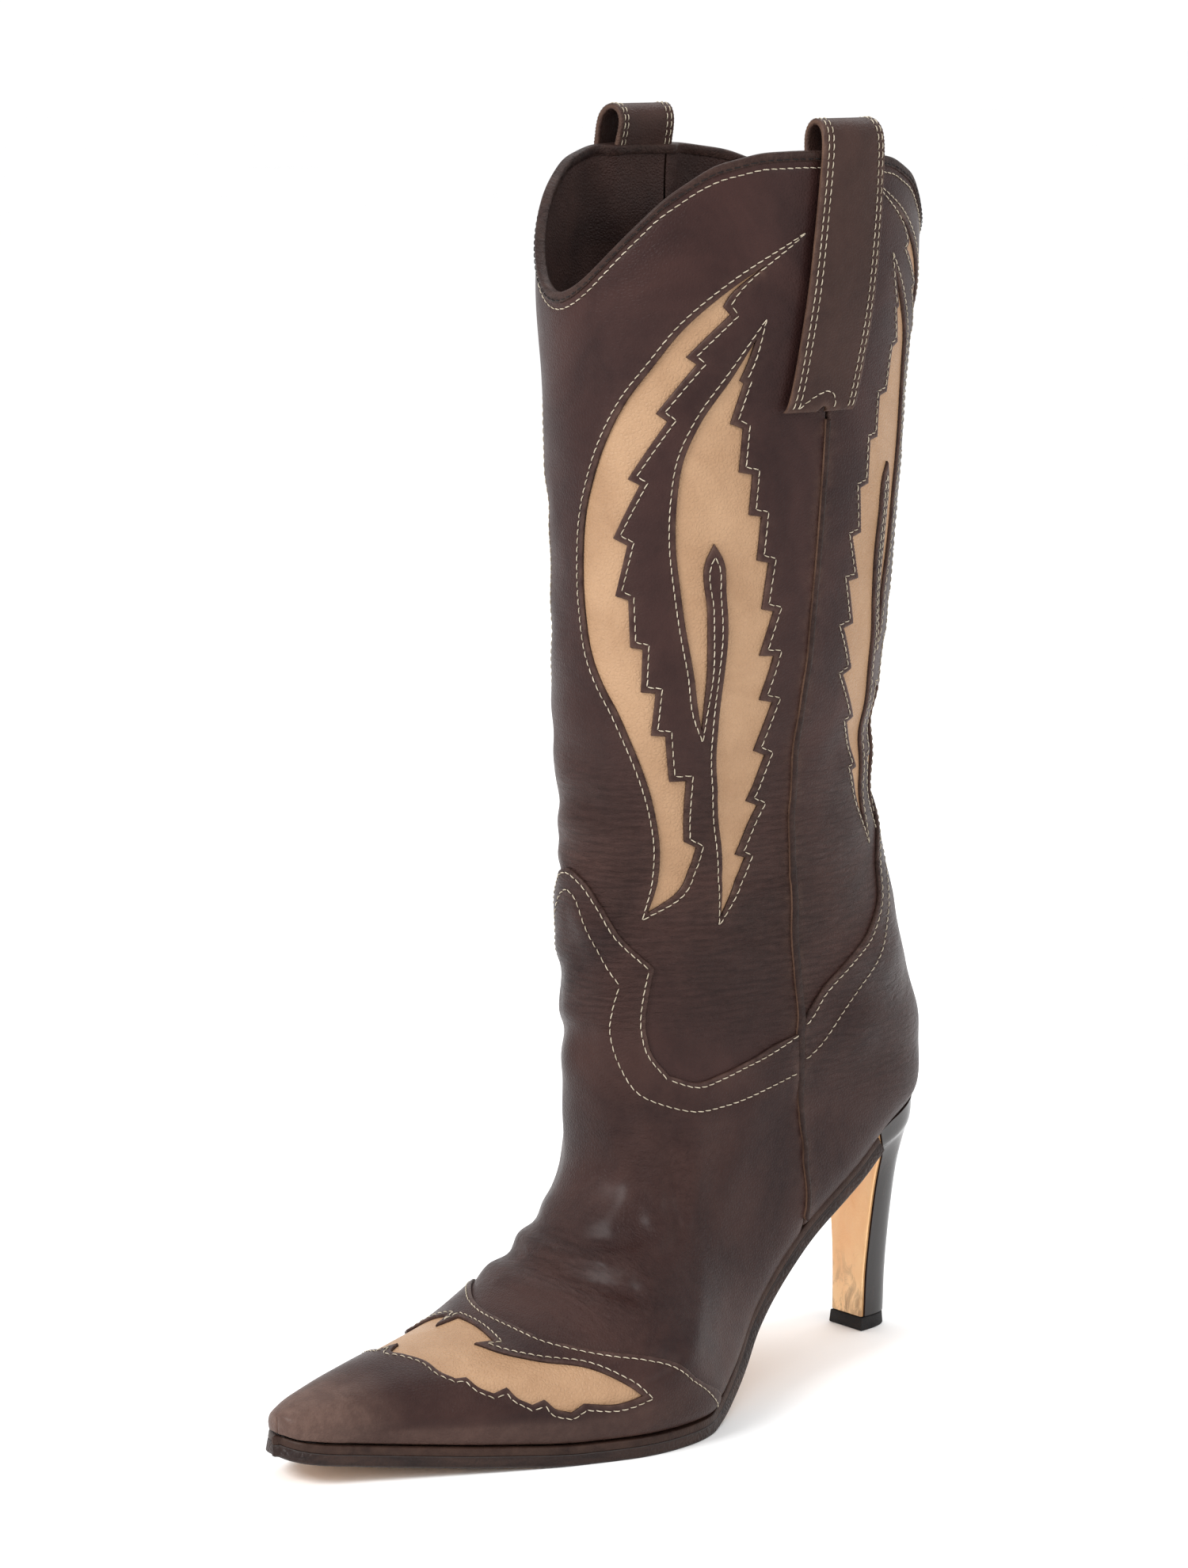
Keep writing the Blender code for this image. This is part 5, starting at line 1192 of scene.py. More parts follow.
def node(tree, kind, inputs=None, **settings):
    made = tree.nodes.new(kind)
    for key, value in settings.items():
        setattr(made, key, value)
    for key, value in (inputs or {}).items():
        feed(tree, made.inputs[key], value)
    return made


class Shade:
    """One procedural material being put together."""

    def __init__(self, name):
        self.mat = bpy.data.materials.new(name)
        self.mat.use_nodes = True
        self.tree = self.mat.node_tree
        self.shader = self.tree.nodes["Principled BSDF"]
        self.where = node(self.tree, "ShaderNodeTexCoord").outputs["Object"]

    def noise(self, scale, detail=2.0, rough=0.5, stretch=(1, 1, 1), distortion=0.0):
        place = node(self.tree, "ShaderNodeMapping", {"Vector": self.where, "Scale": stretch})
        made = node(self.tree, "ShaderNodeTexNoise",
                    {"Vector": place.outputs[0], "Scale": scale, "Detail": detail,
                     "Roughness": rough, "Distortion": distortion})
        return made.outputs["Fac"]

    def cells(self, scale):
        made = node(self.tree, "ShaderNodeTexVoronoi", {"Vector": self.where, "Scale": scale},
                    feature="DISTANCE_TO_EDGE")
        return made.outputs["Distance"]

    def range(self, value, low, high, to_low=0.0, to_high=1.0):
        made = node(self.tree, "ShaderNodeMapRange",
                    {"Value": value, "From Min": low, "From Max": high,
                     "To Min": to_low, "To Max": to_high})
        return made.outputs["Result"]

    def math(self, operation, a, b):
        made = node(self.tree, "ShaderNodeMath", operation=operation)
        for socket, value in zip(made.inputs, (a, b)):
            feed(self.tree, socket, value)
        return made.outputs[0]

    def times(self, a, b):
        return self.math("MULTIPLY", a, b)

    def plus(self, a, b):
        return self.math("ADD", a, b)

    def patches(self, scale, low=0.0, high=1.0, detail=3.0):
        """Soft patches of values between low and high."""
        return self.range(self.noise(scale, detail), 0.3, 0.7, low, high)

    def mix(self, share, a, b):
        made = node(self.tree, "ShaderNodeMix", data_type="RGBA")
        for key, value in (("Factor", share), (6, a), (7, b)):
            feed(self.tree, made.inputs[key], value)
        return made.outputs[2]

    def mask(self):
        """Ankle wrinkles, wear, cut edge and vamp wrinkles stored on the mesh."""
        stored = node(self.tree, "ShaderNodeAttribute", attribute_name="leather")
        split = node(self.tree, "ShaderNodeSeparateColor", {"Color": stored.outputs["Color"]})
        return (*split.outputs[:3], stored.outputs["Alpha"])

    def bump(self, height, distance, strength=1.0):
        made = node(self.tree, "ShaderNodeBump",
                    {"Height": height, "Distance": distance, "Strength": strength})
        self.tree.links.new(made.outputs["Normal"], self.shader.inputs["Normal"])

    def finish(self, colour, roughness, specular=0.5):
        feed(self.tree, self.shader.inputs["Base Color"], colour)
        feed(self.tree, self.shader.inputs["Roughness"], roughness)
        self.shader.inputs["Specular IOR Level"].default_value = specular
        return self.mat


def dark_leather_material(name, dark, light, worn, gloss, wear=0.0):
    """Glazed calf: fine pebbled grain, cloudy colour, wrinkles, paler where it rubs."""
    s = Shade(name)
    ankle, rubbed, edge, vamp = s.mask()
    cloud = s.range(s.noise(24.0, 4.0, 0.6, distortion=0.6), 0.36, 0.66)
    fleck = s.range(s.noise(420.0, 3.0, 0.6), 0.35, 0.7)
    colour = s.mix(s.times(cloud, 0.85), dark, light)
    colour = s.mix(s.times(fleck, 0.18), colour, light)
    scuff = s.range(s.noise(210.0, 6.0, 0.72, distortion=0.2), 0.42, 0.70)
    patch = s.math("MAXIMUM", s.times(rubbed, s.range(scuff, 0, 1, 0.55, 0.95)),
                   s.times(scuff, wear))
    colour = s.mix(patch, colour, worn)
    rim = s.times(edge, s.patches(260.0, 0.0, 0.45))
    colour = s.mix(rim, colour, worn)
    grain = s.range(s.cells(900.0), 0.0, 0.30)
    fine = s.noise(2600.0, 2.0)
    lines = s.noise(9.0, 5.0, 0.62, (14, 14, 70), 0.7)
    across = s.noise(9.0, 5.0, 0.62, (12, 52, 52), 0.7)
    height = s.plus(s.times(grain, 0.30), s.times(fine, 0.25))
    height = s.plus(height, s.times(s.noise(120.0, 3.0), 1.1))
    height = s.plus(height, s.times(s.times(lines, ankle), WRINKLE))
    height = s.plus(height, s.times(s.times(across, vamp), WRINKLE))
    s.bump(height, GRAIN_BUMP)
    shine = s.patches(60.0, gloss - 0.06, gloss + 0.08)
    shine = s.plus(shine, s.times(patch, 0.12))
    s.shader.inputs["Coat Weight"].default_value = GLAZE
    s.shader.inputs["Coat Roughness"].default_value = GLAZE_ROUGHNESS
    return s.finish(colour, shine, GLAZED_SPECULAR)


def plain_leather_material(name, dark, light, roughness, grain=900.0, depth=0.00012,
                           streak=(1, 1, 1), cloud_scale=40.0, fleck=0.3):
    """Leather, fibre board or rubber with two tones, flecks and a grain."""
    s = Shade(name)
    cloud = s.range(s.noise(cloud_scale, 5.0, 0.6, streak, 0.4), 0.36, 0.66)
    colour = s.mix(cloud, dark, light)
    spots = s.range(s.noise(700.0, 3.0, 0.6), 0.50, 0.66)
    colour = s.mix(s.times(spots, fleck), colour, dark)
    height = s.plus(s.range(s.cells(grain), 0.0, 0.3), s.noise(grain * 2.7, 3.0))
    s.bump(height, depth)
    shine = s.patches(90.0, roughness - 0.05, roughness + 0.07)
    return s.finish(colour, shine, LEATHER_SPECULAR)


def thread_material(name, dark, light):
    s = Shade(name)
    twist = node(s.tree, "ShaderNodeTexWave", {"Vector": s.where, "Scale": 620.0,
                                               "Distortion": 2.5, "Detail": 1.0},
                 bands_direction="DIAGONAL")
    colour = s.mix(s.patches(180.0), dark, light)
    s.bump(twist.outputs["Fac"], 0.00012)
    return s.finish(colour, 0.72, 0.3)


def metal_material(name, dark, light):
    s = Shade(name)
    colour = s.mix(s.range(s.noise(260.0, 5.0, 0.6, (1, 1, 0.2)), 0.35, 0.65), dark, light)
    s.shader.inputs["Metallic"].default_value = 1.0
    s.bump(s.noise(1500.0, 3.0, 0.5, (1, 1, 0.1)), 0.00003)
    return s.finish(colour, s.patches(120.0, 0.28, 0.42))


def cork_material(name):
    s = Shade(name)
    grains = node(s.tree, "ShaderNodeTexVoronoi", {"Vector": s.where, "Scale": 650.0})
    tone = s.range(grains.outputs["Distance"], 0.1, 0.6)
    colour = s.mix(tone, rgb(178, 132, 86), rgb(112, 72, 42))
    s.bump(tone, 0.0002)
    return s.finish(colour, 0.85, 0.2)


def gloss_material(name):
    """Polished black-brown heel cover with faint rubs."""
    s = Shade(name)
    rub = s.range(s.noise(140.0, 6.0, 0.7, (1, 1, 0.35), 1.2), 0.56, 0.74)
    colour = s.mix(s.range(s.noise(30.0, 3.0), 0.35, 0.65), rgb(20, 15, 14), rgb(30, 23, 22))
    colour = s.mix(s.times(rub, 0.2), colour, rgb(92, 74, 64))
    s.bump(s.plus(s.noise(110.0, 2.0), s.times(s.noise(900.0, 2.0), 0.2)),
           0.00010)
    return s.finish(colour, s.range(rub, 0.0, 1.0, 0.22, 0.42))


def breast_material(name):
    """Golden natural leather, its tones raised near white as a painted highlight so it glows,
    darkened by scuffs towards the tip of the heel.
    """
    s = Shade(name)
    height = node(s.tree, "ShaderNodeSeparateXYZ", {"Vector": s.where}).outputs["Z"]
    # Painted highlight: both tones sit close to white, so the whole breast glows as if it caught
    # a bright reflection.
    colour = s.mix(s.range(s.noise(55.0, 4.0, 0.6, (1, 1, 0.4)), 0.36, 0.66),
                   rgb(246, 192, 136), rgb(255, 218, 166))
    low = s.range(height, 0.036, 0.002)
    scuff = s.range(s.noise(170.0, 7.0, 0.72, (1, 1, 0.5), 1.4), 0.40, 0.60)
    colour = s.mix(s.times(s.range(s.times(low, scuff), 0.2, 0.9), 0.7),
                   colour, rgb(120, 80, 52))
    s.bump(s.plus(s.noise(700.0, 4.0), scuff), 0.00008)
    return s.finish(colour, s.patches(80.0, 0.32, 0.46, 2.0))


def sole_material(name):
    """Natural leather tread: pale at the waist, ground dark where it meets the floor."""
    s = Shade(name)
    ground, edge = s.mask()[1:3]
    colour = s.mix(s.range(s.noise(35.0, 4.0, 0.6, (1, 0.5, 1)), 0.35, 0.65),
                   rgb(166, 120, 74), rgb(190, 146, 96))
    scuff = s.range(s.noise(130.0, 7.0, 0.72, (1, 0.35, 1), 1.5), 0.38, 0.62, 0.25, 1.0)
    colour = s.mix(s.times(ground, scuff), colour, rgb(70, 54, 42))
    colour = s.mix(s.range(edge, 0.25, 0.5), colour, rgb(34, 23, 20))
    s.bump(s.plus(s.noise(600.0, 5.0), scuff), 0.00015)
    return s.finish(colour, s.patches(90.0, 0.45, 0.65, 2.0))


WORN = rgb(108, 84, 72)
DARK = dark_leather_material("dark leather", rgb(38, 22, 21), rgb(58, 37, 34), WORN, 0.40)
STRAP = dark_leather_material("strap leather", rgb(39, 24, 22), rgb(57, 38, 34), WORN, 0.42)
FOOT = dark_leather_material("foot leather", rgb(36, 21, 20), rgb(58, 38, 34),
                             rgb(106, 84, 75), 0.38, 0.03)
FOLD = dark_leather_material("folded leather", rgb(37, 24, 22), rgb(61, 43, 38), WORN, 0.45,
                             0.12)
CUT = plain_leather_material("cut edge", rgb(38, 24, 20), rgb(62, 42, 34), 0.62)
PALE_CUT = plain_leather_material("worn cut edge", rgb(66, 46, 37), rgb(104, 78, 63), 0.66)
TAN = plain_leather_material("tan inlay leather", rgb(152, 119, 90), rgb(166, 133, 103), 0.42,
                             780.0, 0.00014, fleck=0.10)
TAN_CUT = plain_leather_material("tan cut edge", rgb(150, 110, 70), rgb(182, 140, 96), 0.7)
LINER = plain_leather_material("lining leather", rgb(40, 25, 22), rgb(60, 40, 35), 0.55)
SOCK = plain_leather_material("sock leather", rgb(92, 64, 48), rgb(120, 88, 66), 0.6)
EDGE_PAINT = plain_leather_material("painted sole edge", rgb(30, 19, 17), rgb(52, 36, 30),
                                    0.42, 500.0, 0.0002, (1, 1, 5))
WELT = dark_leather_material("welt leather", rgb(34, 22, 19), rgb(56, 38, 32),
                             rgb(72, 54, 45), 0.46, 0.12)
TREAD = sole_material("leather tread")
GLOSS = gloss_material("polished heel cover")
# Heel breast leather whose colour carries a painted highlight.
BREAST = breast_material("golden breast leather with painted highlight")
RUBBER = plain_leather_material("heel tip rubber", rgb(26, 25, 26), rgb(44, 42, 42), 0.66,
                                1500.0, 0.00012)
THREADS = thread_material("cream thread", rgb(158, 146, 126), rgb(198, 186, 166))
DARK_THREAD = thread_material("dark thread", rgb(10, 7, 7), rgb(24, 17, 16))
STEEL = metal_material("steel", (0.42, 0.42, 0.44, 1.0), (0.62, 0.62, 0.64, 1.0))
CORK = cork_material("cork")
BOARD = plain_leather_material("fibre board", rgb(146, 112, 78), rgb(176, 142, 104), 0.85)
STIFF = plain_leather_material("stiffener board", rgb(150, 132, 108), rgb(184, 168, 142), 0.9)
PLASTIC = plain_leather_material("heel plastic", rgb(92, 88, 84), rgb(116, 112, 106), 0.5,
                                 300.0, 0.00008)

# Hidden pieces that stay as they are and only take a finish.
KEPT = {"ball_filler": CORK, "counter_stiffener": STIFF, "toe_puff": STIFF,
        "heel_block": PLASTIC, "insole_board": BOARD}
METAL = ("shank", "heel_screw", "heel_nail_1", "heel_nail_2", "heel_nail_3", "heel_nail_4",
         "top_piece_pin_1", "top_piece_pin_2")


def keep_nodes():
    for name, mat in (*KEPT.items(), *((name, STEEL) for name in METAL)):
        for entry in frame["nodes"][name].material_slots:
            entry.material = mat


def put(obj, slot, *nodes):
    """The piece rides the boot and shows in place of its plain nodes; slot is not used."""
    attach(obj, "root")
    if nodes:
        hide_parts(*nodes)
    return obj


def sewn(name, outline, layer, materials, rows, holes=(), depth=0.0, rise=None, place=boot,
         **looks):
    """Dark leather panel in place of the node of that name, with its stitch rows."""
    put(skin(name + "_leather", outline, layer, materials, holes, rows, rise, place=place,
             **looks), "dark_leather", name)
    put(stitches(name + "_stitching", rows, THREADS, place, depth, rise), "dark_leather")


def lined(name, outline, layer, **looks):
    """Lining leather in place of the node of that name."""
    put(skin(name + "_leather", outline, layer, (LINER, CUT), **looks), "lining_leather", name)


# ================================================================= leather panels
def even_marks(worn):
    """Leather that is rubbed the same all over and has no wrinkles."""
    def marks(angle, along):
        none = np.zeros_like(along)
        return none, none + worn, none

    return marks


def shaft_marks(angle, along):
    a = wrapped(angle)
    ankle = ramp(along, 228.0, 262.0) * (1.0 - ramp(along, 316.0, 372.0))
    ankle = np.maximum(ankle, 0.30 * bell(along, 385.0, 30.0) * bell(a, -25.0, 45.0))
    rubbed = 0.12 * bell(along, 300.0, 60.0)
    return ankle, rubbed, np.zeros_like(ankle)


def foot_marks(angle, along):
    a = wrapped(angle)
    ankle = 0.9 * ramp(along, 222.0, 248.0) * np.ones_like(a)
    vamp = bell(a, 8.0, 52.0) * bell(along, 120.0, 20.0)
    vamp = np.maximum(vamp, 0.55 * bell(a, 55.0, 28.0) * bell(along, 180.0, 34.0))
    tip = 0.85 * (1.0 - ramp(along, 10.0, 40.0))
    low = 0.35 * ramp(np.abs(a), 82.0, 100.0) * (1.0 - ramp(along, 60.0, 150.0))
    return ankle, np.maximum(tip, low), vamp


FEATHER_HOLES = {"shaft_front": [f(p) for f in (front_outer, front_inner)
                                 for p in (OUTER_FEATHER, INNER_FEATHER)],
                 "shaft_back": [f(p) for f in (back_outer, back_inner)
                                for p in (OUTER_FEATHER, INNER_FEATHER)]}


def topline_row(angle_from, angle_to):
    return open_row(topline(angle_from, angle_to, TOPLINE_ROW, 6.0))


def build_shaft():
    parts = (("shaft_front", SHAFT_FRONT_FOOT, FRONT_CENTRE, False, (87.0, -99.0)),
             ("shaft_back", SHAFT_BACK_FOOT, BACK_CENTRE, True, (89.0, 259.0)))
    for name, foot, centre, back, span in parts:
        outline = laid(shaft_outline(foot, centre, back))
        holes = [laid(hole) for hole in FEATHER_HOLES[name]]
        rows = [closed_row(outside(hole, FEATHER_ROW, tip))
                for hole, tip in zip(FEATHER_HOLES[name], FEATHER_TIPS)]
        rows.append(topline_row(*span))
        sewn(name, outline, SHAFT_SKIN, (DARK, CUT), rows, holes, marks=shaft_marks)
        lined("shaft_lining_back" if back else "shaft_lining_front", outline,
              SHAFT_LINING_SKIN, grid=COARSE_GRID, rise=lining_rise)


def build_inlays():
    for name, place in (("inlay_front_outer", front_outer), ("inlay_front_inner", front_inner),
                        ("inlay_back_outer", back_outer), ("inlay_back_inner", back_inner)):
        put(skin(name + "_leather", laid(place(BACKING)), INLAY_SKIN, (TAN, TAN_CUT),
                 grid=COARSE_GRID),
            "tan_leather", name)


def build_piping():
    for name, inner_side in (("side_piping_outer", False), ("side_piping_inner", True)):
        low = seam_foot(inner_side)
        left = seam_line(low, STRAP_TAIL_T - 3.0, -PIPING_SHOWN, inner_side, 3.0)
        right = seam_line(low, STRAP_TAIL_T - 3.0, PIPING_SHOWN, inner_side, 3.0)
        put(skin(name + "_leather", laid(left + right[::-1]), PIPING_SKIN, (FOLD, PALE_CUT),
                 rounding=0.6), "piping_leather", name)


def build_foot():
    top = vamp_top_line()
    outer_side = side_points(False, -PIPING_GAP, VAMP_SIDE)
    inner_side = side_points(True, -PIPING_GAP, VAMP_SIDE)
    front = trimmed(front_line(WING_LAP), 0.0)
    outer_low = lasting_line(front[-1][1] + 2.0, outer_side[0][1] - 3.0, 0.0, False, 4.0)
    inner_low = lasting_line(front[0][1] + 2.0, inner_side[0][1] - 3.0, 0.0, True, 4.0)
    outline = foot_outline(front, outer_low, outer_side, top, inner_side, inner_low)
    rows = [open_row(offset(top, -EDGE_ROW, closed=False)),
            open_row(both_sides(VAMP_ROW, FRONT_CENTRE))]
    sewn("vamp", laid(outline), FOOT_SKIN, (FOOT, CUT), rows, rise=vamp_rise, marks=foot_marks)


def build_counter():
    top = both_sides(COUNTER_TOP, BACK_CENTRE)
    outer_side = side_points(False, PIPING_GAP, COUNTER_SIDE)
    outline = heel_outline(outer_side, side_points(True, PIPING_GAP, COUNTER_SIDE), top)
    rows = [open_row(offset(top, EDGE_ROW, closed=False)),
            open_row(both_sides(COUNTER_ROW, BACK_CENTRE))]
    sewn("heel_counter", laid(outline), FOOT_SKIN, (FOOT, CUT), rows, rise=lap(top),
         marks=foot_marks)


def build_toe():
    rear = trimmed(front_line(0.0), WING_SKIN[1])
    start = toe_start(WING_SKIN[1], 24)
    outer_low = lasting_line(2.0, rear[-1][1] - 1.0, WING_SKIN[1], False, 3.0)
    inner_low = lasting_line(2.0, rear[0][1] - 1.0, WING_SKIN[1], True, 3.0)
    outline = start + outer_low + rear[::-1] + inner_low[::-1]
    cut_out = toe_shape(TOE_CUT_REAR + TOE_CUT_FRONT)
    rows = [open_row(trimmed(offset(front_line(0.0), EDGE_ROW, closed=False).tolist(),
                             WING_SKIN[1])),
            closed_row(outside(cut_out, TOE_ROW))]
    sewn("toe_wing", laid(outline), WING_SKIN, (FOOT, CUT), rows, [laid(cut_out)],
         WING_SKIN[1], marks=foot_marks, grid=FINE_GRID)
    put(skin("toe_inlay_leather", laid(toe_shape(TOE_INLAY_OUTLINE)), TOE_INLAY_SKIN,
             (TAN, TAN_CUT)), "tan_leather", "toe_inlay")


def lining_sides(foot, shift):
    """Edges of a foot lining along the outer and the inner seam, sole to top."""
    return [side_points(inner_side, shift, foot[0][1] - 2.0) for inner_side in (False, True)]


def build_foot_linings():
    front_foot = [(a, t - LINING_GAP) for a, t in SHAFT_FRONT_FOOT]
    back_foot = [(a, t - LINING_GAP) for a, t in SHAFT_BACK_FOOT]
    top = both_sides(front_foot, FRONT_CENTRE)
    outer_side, inner_side = lining_sides(front_foot, -SEAM_HALF_GAP)
    outer_low = lasting_line(LINING_FRONT, outer_side[0][1] - 3.0, 0.0, False)
    inner_low = lasting_line(LINING_FRONT, inner_side[0][1] - 3.0, 0.0, True)
    across = across_toe(inner_low[0], outer_low[0])
    outline = foot_outline(across, outer_low, outer_side, top, inner_side, inner_low)
    lined("vamp_lining", laid(outline), FOOT_LINING_SKIN, grid=LINING_GRID)
    top = both_sides(back_foot, BACK_CENTRE)
    outline = heel_outline(*lining_sides(back_foot, SEAM_HALF_GAP), top)
    lined("heel_lining", laid(outline), FOOT_LINING_SKIN, grid=LINING_GRID)


def build_binding():
    """Thin leather folded over the top edge, with its line of sunk dark stitches."""
    angles = np.arange(BINDING_RINGS) * 360.0 / BINDING_RINGS
    level = topline_t(angles)
    kernel = np.hanning(9) / np.hanning(9).sum()
    level = np.convolve(np.concatenate([level[-4:], level, level[:4]]), kernel, "valid")
    swell = strap_bulge(angles)
    rings = [boot(angles * MM_PER_DEGREE, level + w, d - swell * float(ramp(-d, 0.5, 1.2)))
             for w, d in BINDING_PROFILE]
    rings = np.stack(rings, axis=1)
    put(swept("top_binding_leather", rings[:, ::-1], [FOLD], closed=True),
        "dark_leather", "top_binding")
    line = np.stack([angles * MM_PER_DEGREE, level - BINDING_STITCH], axis=1)
    line = np.concatenate([line, line[:1] + (360.0 * MM_PER_DEGREE, 0.0)])
    put(stitches("top_binding_stitching", [[line]], DARK_THREAD, depth=0.68), "dark_leather")


def strap_place(sign, peak):
    """Placing function of a pull strap: across it, and from the outside tail over the top."""
    loop = [(d, peak + t) for d, t in STRAP_LOOP]
    path = np.concatenate(smooth_line([(STRAP_OUT, STRAP_TAIL_T), (STRAP_OUT, 480.0),
                                       (STRAP_OUT, 505.0), (STRAP_OUT, 525.0)] + loop,
                                      closed=False, step=0.6))
    length = lengths(path)
    side = to_right(np.gradient(path, axis=0))
    rise = np.clip((path[:, 1] - STRAP_TAIL_T) / (STRAP_RISE_T - STRAP_TAIL_T), 0.0, 1.0)
    rise[int(np.argmax(path[:, 1])):] = 1.0
    middle = STRAP_TAIL_ANGLE + (STRAP_TOP_ANGLE - STRAP_TAIL_ANGLE) * np.sqrt(rise)

    def place(x, y, depth):
        at = np.asarray(y, float) - STRAP_START
        point = (read_path(at, length, path)
                 + read_path(at, length, side) * np.asarray(depth, float)[..., None])
        angle = sign * np.interp(at, length, middle) + x / STRAP_MM_PER_DEGREE
        return boot(angle * MM_PER_DEGREE, point[..., 1], point[..., 0])

    return place, float(length[-1])


def arc(centre, radius, start, end, count=12):
    turn = np.radians(np.linspace(start, end, count + 1))
    return [(centre[0] + radius * math.cos(t), centre[1] + radius * math.sin(t)) for t in turn]


def build_straps():
    for name, sign, peak in zip(("pull_strap_outer", "pull_strap_inner"), (1.0, -1.0),
                                STRAP_PEAKS):
        place, length = strap_place(sign, peak)
        tail, end, half = STRAP_START, STRAP_START + length, STRAP_HALF
        notch = arc((0.0, tail), STRAP_NOTCH, 180.0, 0.0, 10)
        outline = ([(-half, tail)] + notch
                   + [(half, tail), (half, end), (-half, end)])
        rows = []
        for side in (-1.0, 1.0):
            for inset in STRAP_ROWS:
                x = side * (half - inset)
                rows.append(smooth_line([(x, tail + 0.9), (x, end - 3.0)], closed=False))
        x = half - STRAP_ROWS[-1]
        rows.append(smooth_line([(-x, tail + 1.0), (-x + 1.6, tail + 2.6), (-3.4, tail + 5.6),
                                 (-0.6, tail + 6.4), (2.2, tail + 5.2), (3.6, tail + 2.6),
                                 (3.8, tail + 0.9)], closed=False))
        sewn(name, outline, STRAP_SKIN, (STRAP, PALE_CUT), rows, depth=STRAP_SKIN[1],
             place=place, grid=FINE_GRID, back_rounding=EDGE_ROUND, marks=even_marks(0.10))


# ================================================================= sole and heel
def under(x, y, depth):
    """Places a sole piece seen from above; y counts from ahead of the toe."""
    return sole_point(np.asarray(x, float), np.asarray(y, float) - SOLE_SHIFT, depth)


def below(x, y, depth):
    """The same seen from below: the outer face looks at the floor."""
    return sole_point(-np.asarray(x, float), np.asarray(y, float) - SOLE_SHIFT, -depth)


def shifted(points, flip=False):
    sign = -1.0 if flip else 1.0
    return [(sign * x, y + SOLE_SHIFT) for x, y in points]


def tread_marks(angle, along):
    x, y = angle * MM_PER_DEGREE, along - SOLE_SHIFT
    ground = bell(y, -165.0, 52.0) * (1.0 - 0.5 * ramp(np.abs(x), 20.0, 50.0))
    return np.zeros_like(y), np.maximum(ground, 0.12), np.zeros_like(y)


def build_sole():
    tip = EDGE[0, 0]
    outer, inner = sole_outline(tip - SOLE_PROUD, SOLE_END, -SOLE_PROUD, -SOLE_WAIST_PROUD,
                                round_front=True)
    edge = outer + inner[::-1]
    put(skin("outsole_leather", shifted(edge, True), (-OUTSOLE_LAYER[1] - 0.35,
                                                      -OUTSOLE_LAYER[0]),
             (TREAD, EDGE_PAINT), place=below, back_rounding=SOLE_ROUND, marks=tread_marks,
             grid=COARSE_GRID), "sole_leather", "outsole")
    outer, inner = np.array(outer), np.array(inner)
    path = np.concatenate([inner[::-1], outer])
    centre = 0.5 * (outer + inner)
    middle = np.concatenate([centre[::-1], centre])
    reach = np.abs(path[:, 0] - middle[:, 0])
    inset = path.copy()
    inset[:, 0] += np.sign(middle[:, 0] - path[:, 0]) * np.minimum(WELT_WIDTH, WELT_SHARE * reach)
    near = np.clip(1.0 - (path[:, 1] - path[:, 1].min()) / WELT_TOE, 0.0, 1.0)
    inset[:, 1] += near * WELT_WIDTH
    strip = [tuple(p) for p in path] + [tuple(p) for p in inset[::-1]]
    put(skin("welt_leather", shifted(strip), WELT_LAYER, (WELT, WELT), place=under,
             back_rounding=SOLE_ROUND, marks=even_marks(0.05)), "welt_leather", "welt")
    outer, inner = sole_outline(TOE_INSIDE + 2.0, INSOLE_BACK - 2.0, SOCK_INSET, SOCK_INSET,
                                round_front=True, round_rear=True)
    put(skin("sock_liner_leather", shifted(outer + inner[::-1]), SOCK_LAYER, (SOCK, CUT),
             place=under, grid=LINING_GRID), "sock_leather", "sock_liner")


def fine_heel_rings(grow):
    """Heel outline rings joined by smooth curves from the tip up to the seat."""
    rings = [heel_ring(*row, grow=grow) for row in HEEL_RINGS]
    rings.append(heel_ring(0.0, 0.0, *HEEL_SEAT, grow=grow, seat=True))
    rings = np.array(rings)
    step = np.diff(rings, axis=0)
    tangent = np.concatenate([step[:1], 0.5 * (step[:-1] + step[1:]), step[-1:]])
    out = []
    for i in range(len(rings) - 1):
        for s in np.arange(HEEL_FINE) / HEEL_FINE:
            rise = eased(s)
            out.append(rings[i] * (1 - rise) + rings[i + 1] * rise
                       + tangent[i] * s * (1 - s) ** 2 - tangent[i + 1] * s * s * (1 - s))
    out.append(rings[-1])
    return np.array(out)


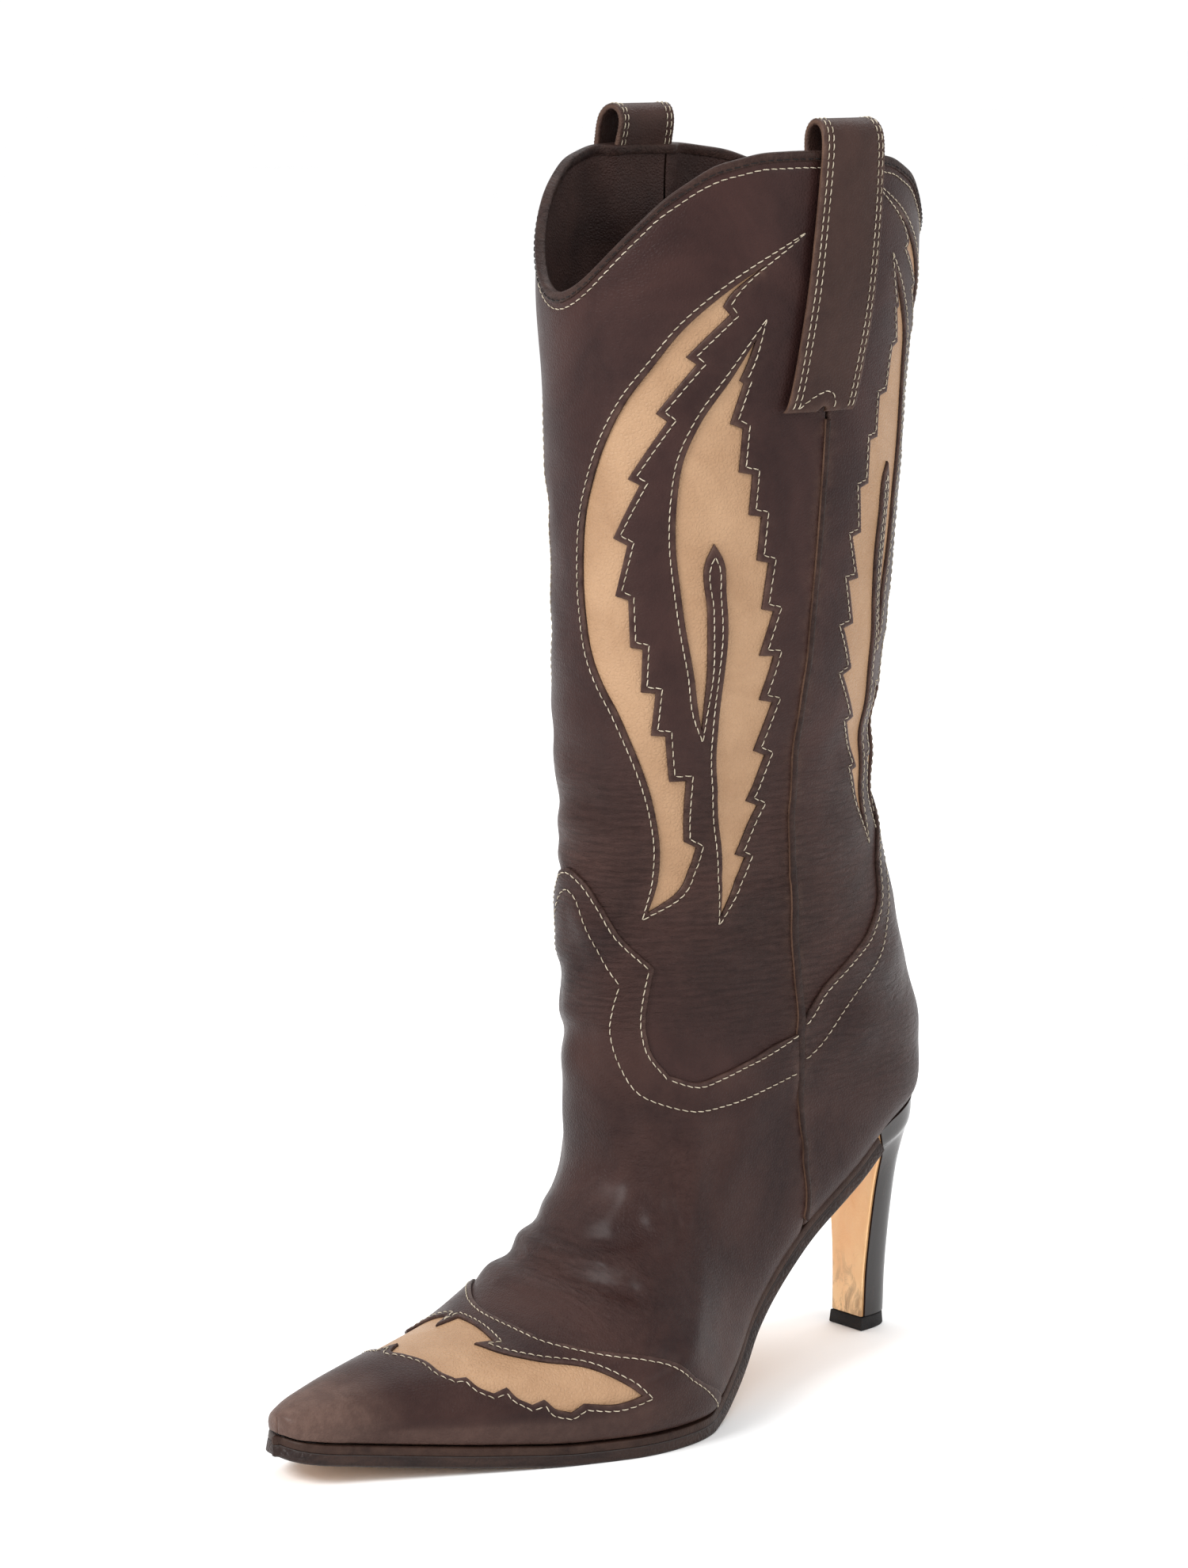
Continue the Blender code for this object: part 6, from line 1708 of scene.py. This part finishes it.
def build_heel():
    inner = fine_heel_rings(COVER_GAP)[:, :HEEL_COLUMNS]
    outer = fine_heel_rings(COVER_GAP + COVER_THICK)[:, :HEEL_COLUMNS]
    put(sheet_grid("heel_cover_leather", outer, inner, (GLOSS, CUT)), "heel_cover_leather",
        "heel_cover")
    rows = []
    for ring in fine_heel_rings(0.0):
        edge = ring[HEEL_COLUMNS:]
        half = ring[:, 0].max() + COVER_GAP + COVER_THICK - BREAST_MARGIN
        rows.append((half, edge[0, 1], edge[0, 2]))
    rows = np.array(rows)
    ahead = -to_right(np.gradient(rows[:, 1:], axis=0))
    share = np.concatenate([[-1.0, -0.985, -0.95], np.linspace(-0.9, 0.9, 11),
                            [0.95, 0.985, 1.0]])
    dip = np.interp(np.abs(share), (0.9, 0.95, 0.985, 1.0), (0.0, 0.05, 0.2, 0.45))
    faces = []
    for depth in (BREAST_GAP + BREAST_THICK - dip[None, :], BREAST_GAP + 0.0 * dip[None, :]):
        y = rows[:, 1:2] + ahead[:, :1] * depth
        z = rows[:, 2:3] + ahead[:, 1:] * depth
        x = rows[:, :1] * share + 0.0 * y
        faces.append(np.stack([x, y, z], axis=-1))
    put(sheet_grid("heel_breast_leather", faces[0], faces[1], (BREAST, TAN_CUT)),
        "breast_leather", "heel_breast_cover")
    half, breast, back, thick = TOP_PIECE
    levels = ((0.0, 0.35), (0.12, 0.12), (0.4, 0.0), (thick - 0.35, TOP_PIECE_FLARE),
              (thick - 0.1, TOP_PIECE_FLARE + 0.1), (thick, TOP_PIECE_FLARE + 0.3))
    rings = [heel_ring(z, 0.0, half - f, breast + f, back - f) for z, f in levels]
    put(swept("heel_top_piece_rubber", rings, [RUBBER], smooth=50.0), "top_piece_rubber",
        "heel_top_piece")


# ================================================================= set
def build_floor():
    size = FLOOR_HALF
    s = Shade("pale floor")
    mat = s.finish(s.mix(s.patches(3.0), *FLOOR_TONES), 0.9, 0.1)
    points = [(-size, -size, 0.0), (size, -size, 0.0), (size, size, 0.0), (-size, size, 0.0)]
    floor = mesh_object("floor", points, [(0, 1, 2, 3)], [mat])


def lamp(name, turn, rise, distance, size, watts):
    """Square soft light aimed at the boot; turn is measured from the camera, to its right."""
    a = math.radians(CAMERA_AZIMUTH + turn)
    e = math.radians(rise)
    way = Vector((math.sin(a) * math.cos(e), -math.cos(a) * math.cos(e), math.sin(e)))
    data = bpy.data.lights.new(name, "AREA")
    data.shape = "SQUARE"
    data.size = size
    data.energy = watts
    obj = bpy.data.objects.new(name, data)
    obj.location = Vector(LIT) + way * distance
    obj.rotation_euler = way.to_track_quat("Z", "Y").to_euler()
    bpy.context.scene.collection.objects.link(obj)


def build_set():
    build_floor()
    world = bpy.data.worlds.new("soft studio")
    bpy.context.scene.world = world
    world.use_nodes = True
    world.node_tree.nodes["Background"].inputs["Color"].default_value = WORLD_COLOUR
    world.node_tree.nodes["Background"].inputs["Strength"].default_value = WORLD_STRENGTH
    for row in LAMPS:
        lamp(*row)
    data = bpy.data.cameras.new("camera")
    data.lens = CAMERA_LENS
    data.clip_end = 200.0
    camera = bpy.data.objects.new("camera", data)
    camera.location = CAMERA
    camera.rotation_euler = (math.radians(90.0 - CAMERA_DOWN), 0.0, math.radians(CAMERA_AZIMUTH))
    bpy.context.scene.collection.objects.link(camera)
    bpy.context.scene.camera = camera
    bpy.context.scene.view_settings.view_transform = "Standard"


def main():
    known = {obj.name for group in ("bodies", "nodes") for obj in frame[group].values()}
    for obj in list(bpy.data.objects):
        if obj.name not in known:
            bpy.data.objects.remove(obj, do_unlink=True)
    keep_nodes()
    build_shaft()
    build_inlays()
    build_piping()
    build_foot()
    build_counter()
    build_toe()
    build_foot_linings()
    build_binding()
    build_straps()
    build_sole()
    build_heel()
    build_set()


main()
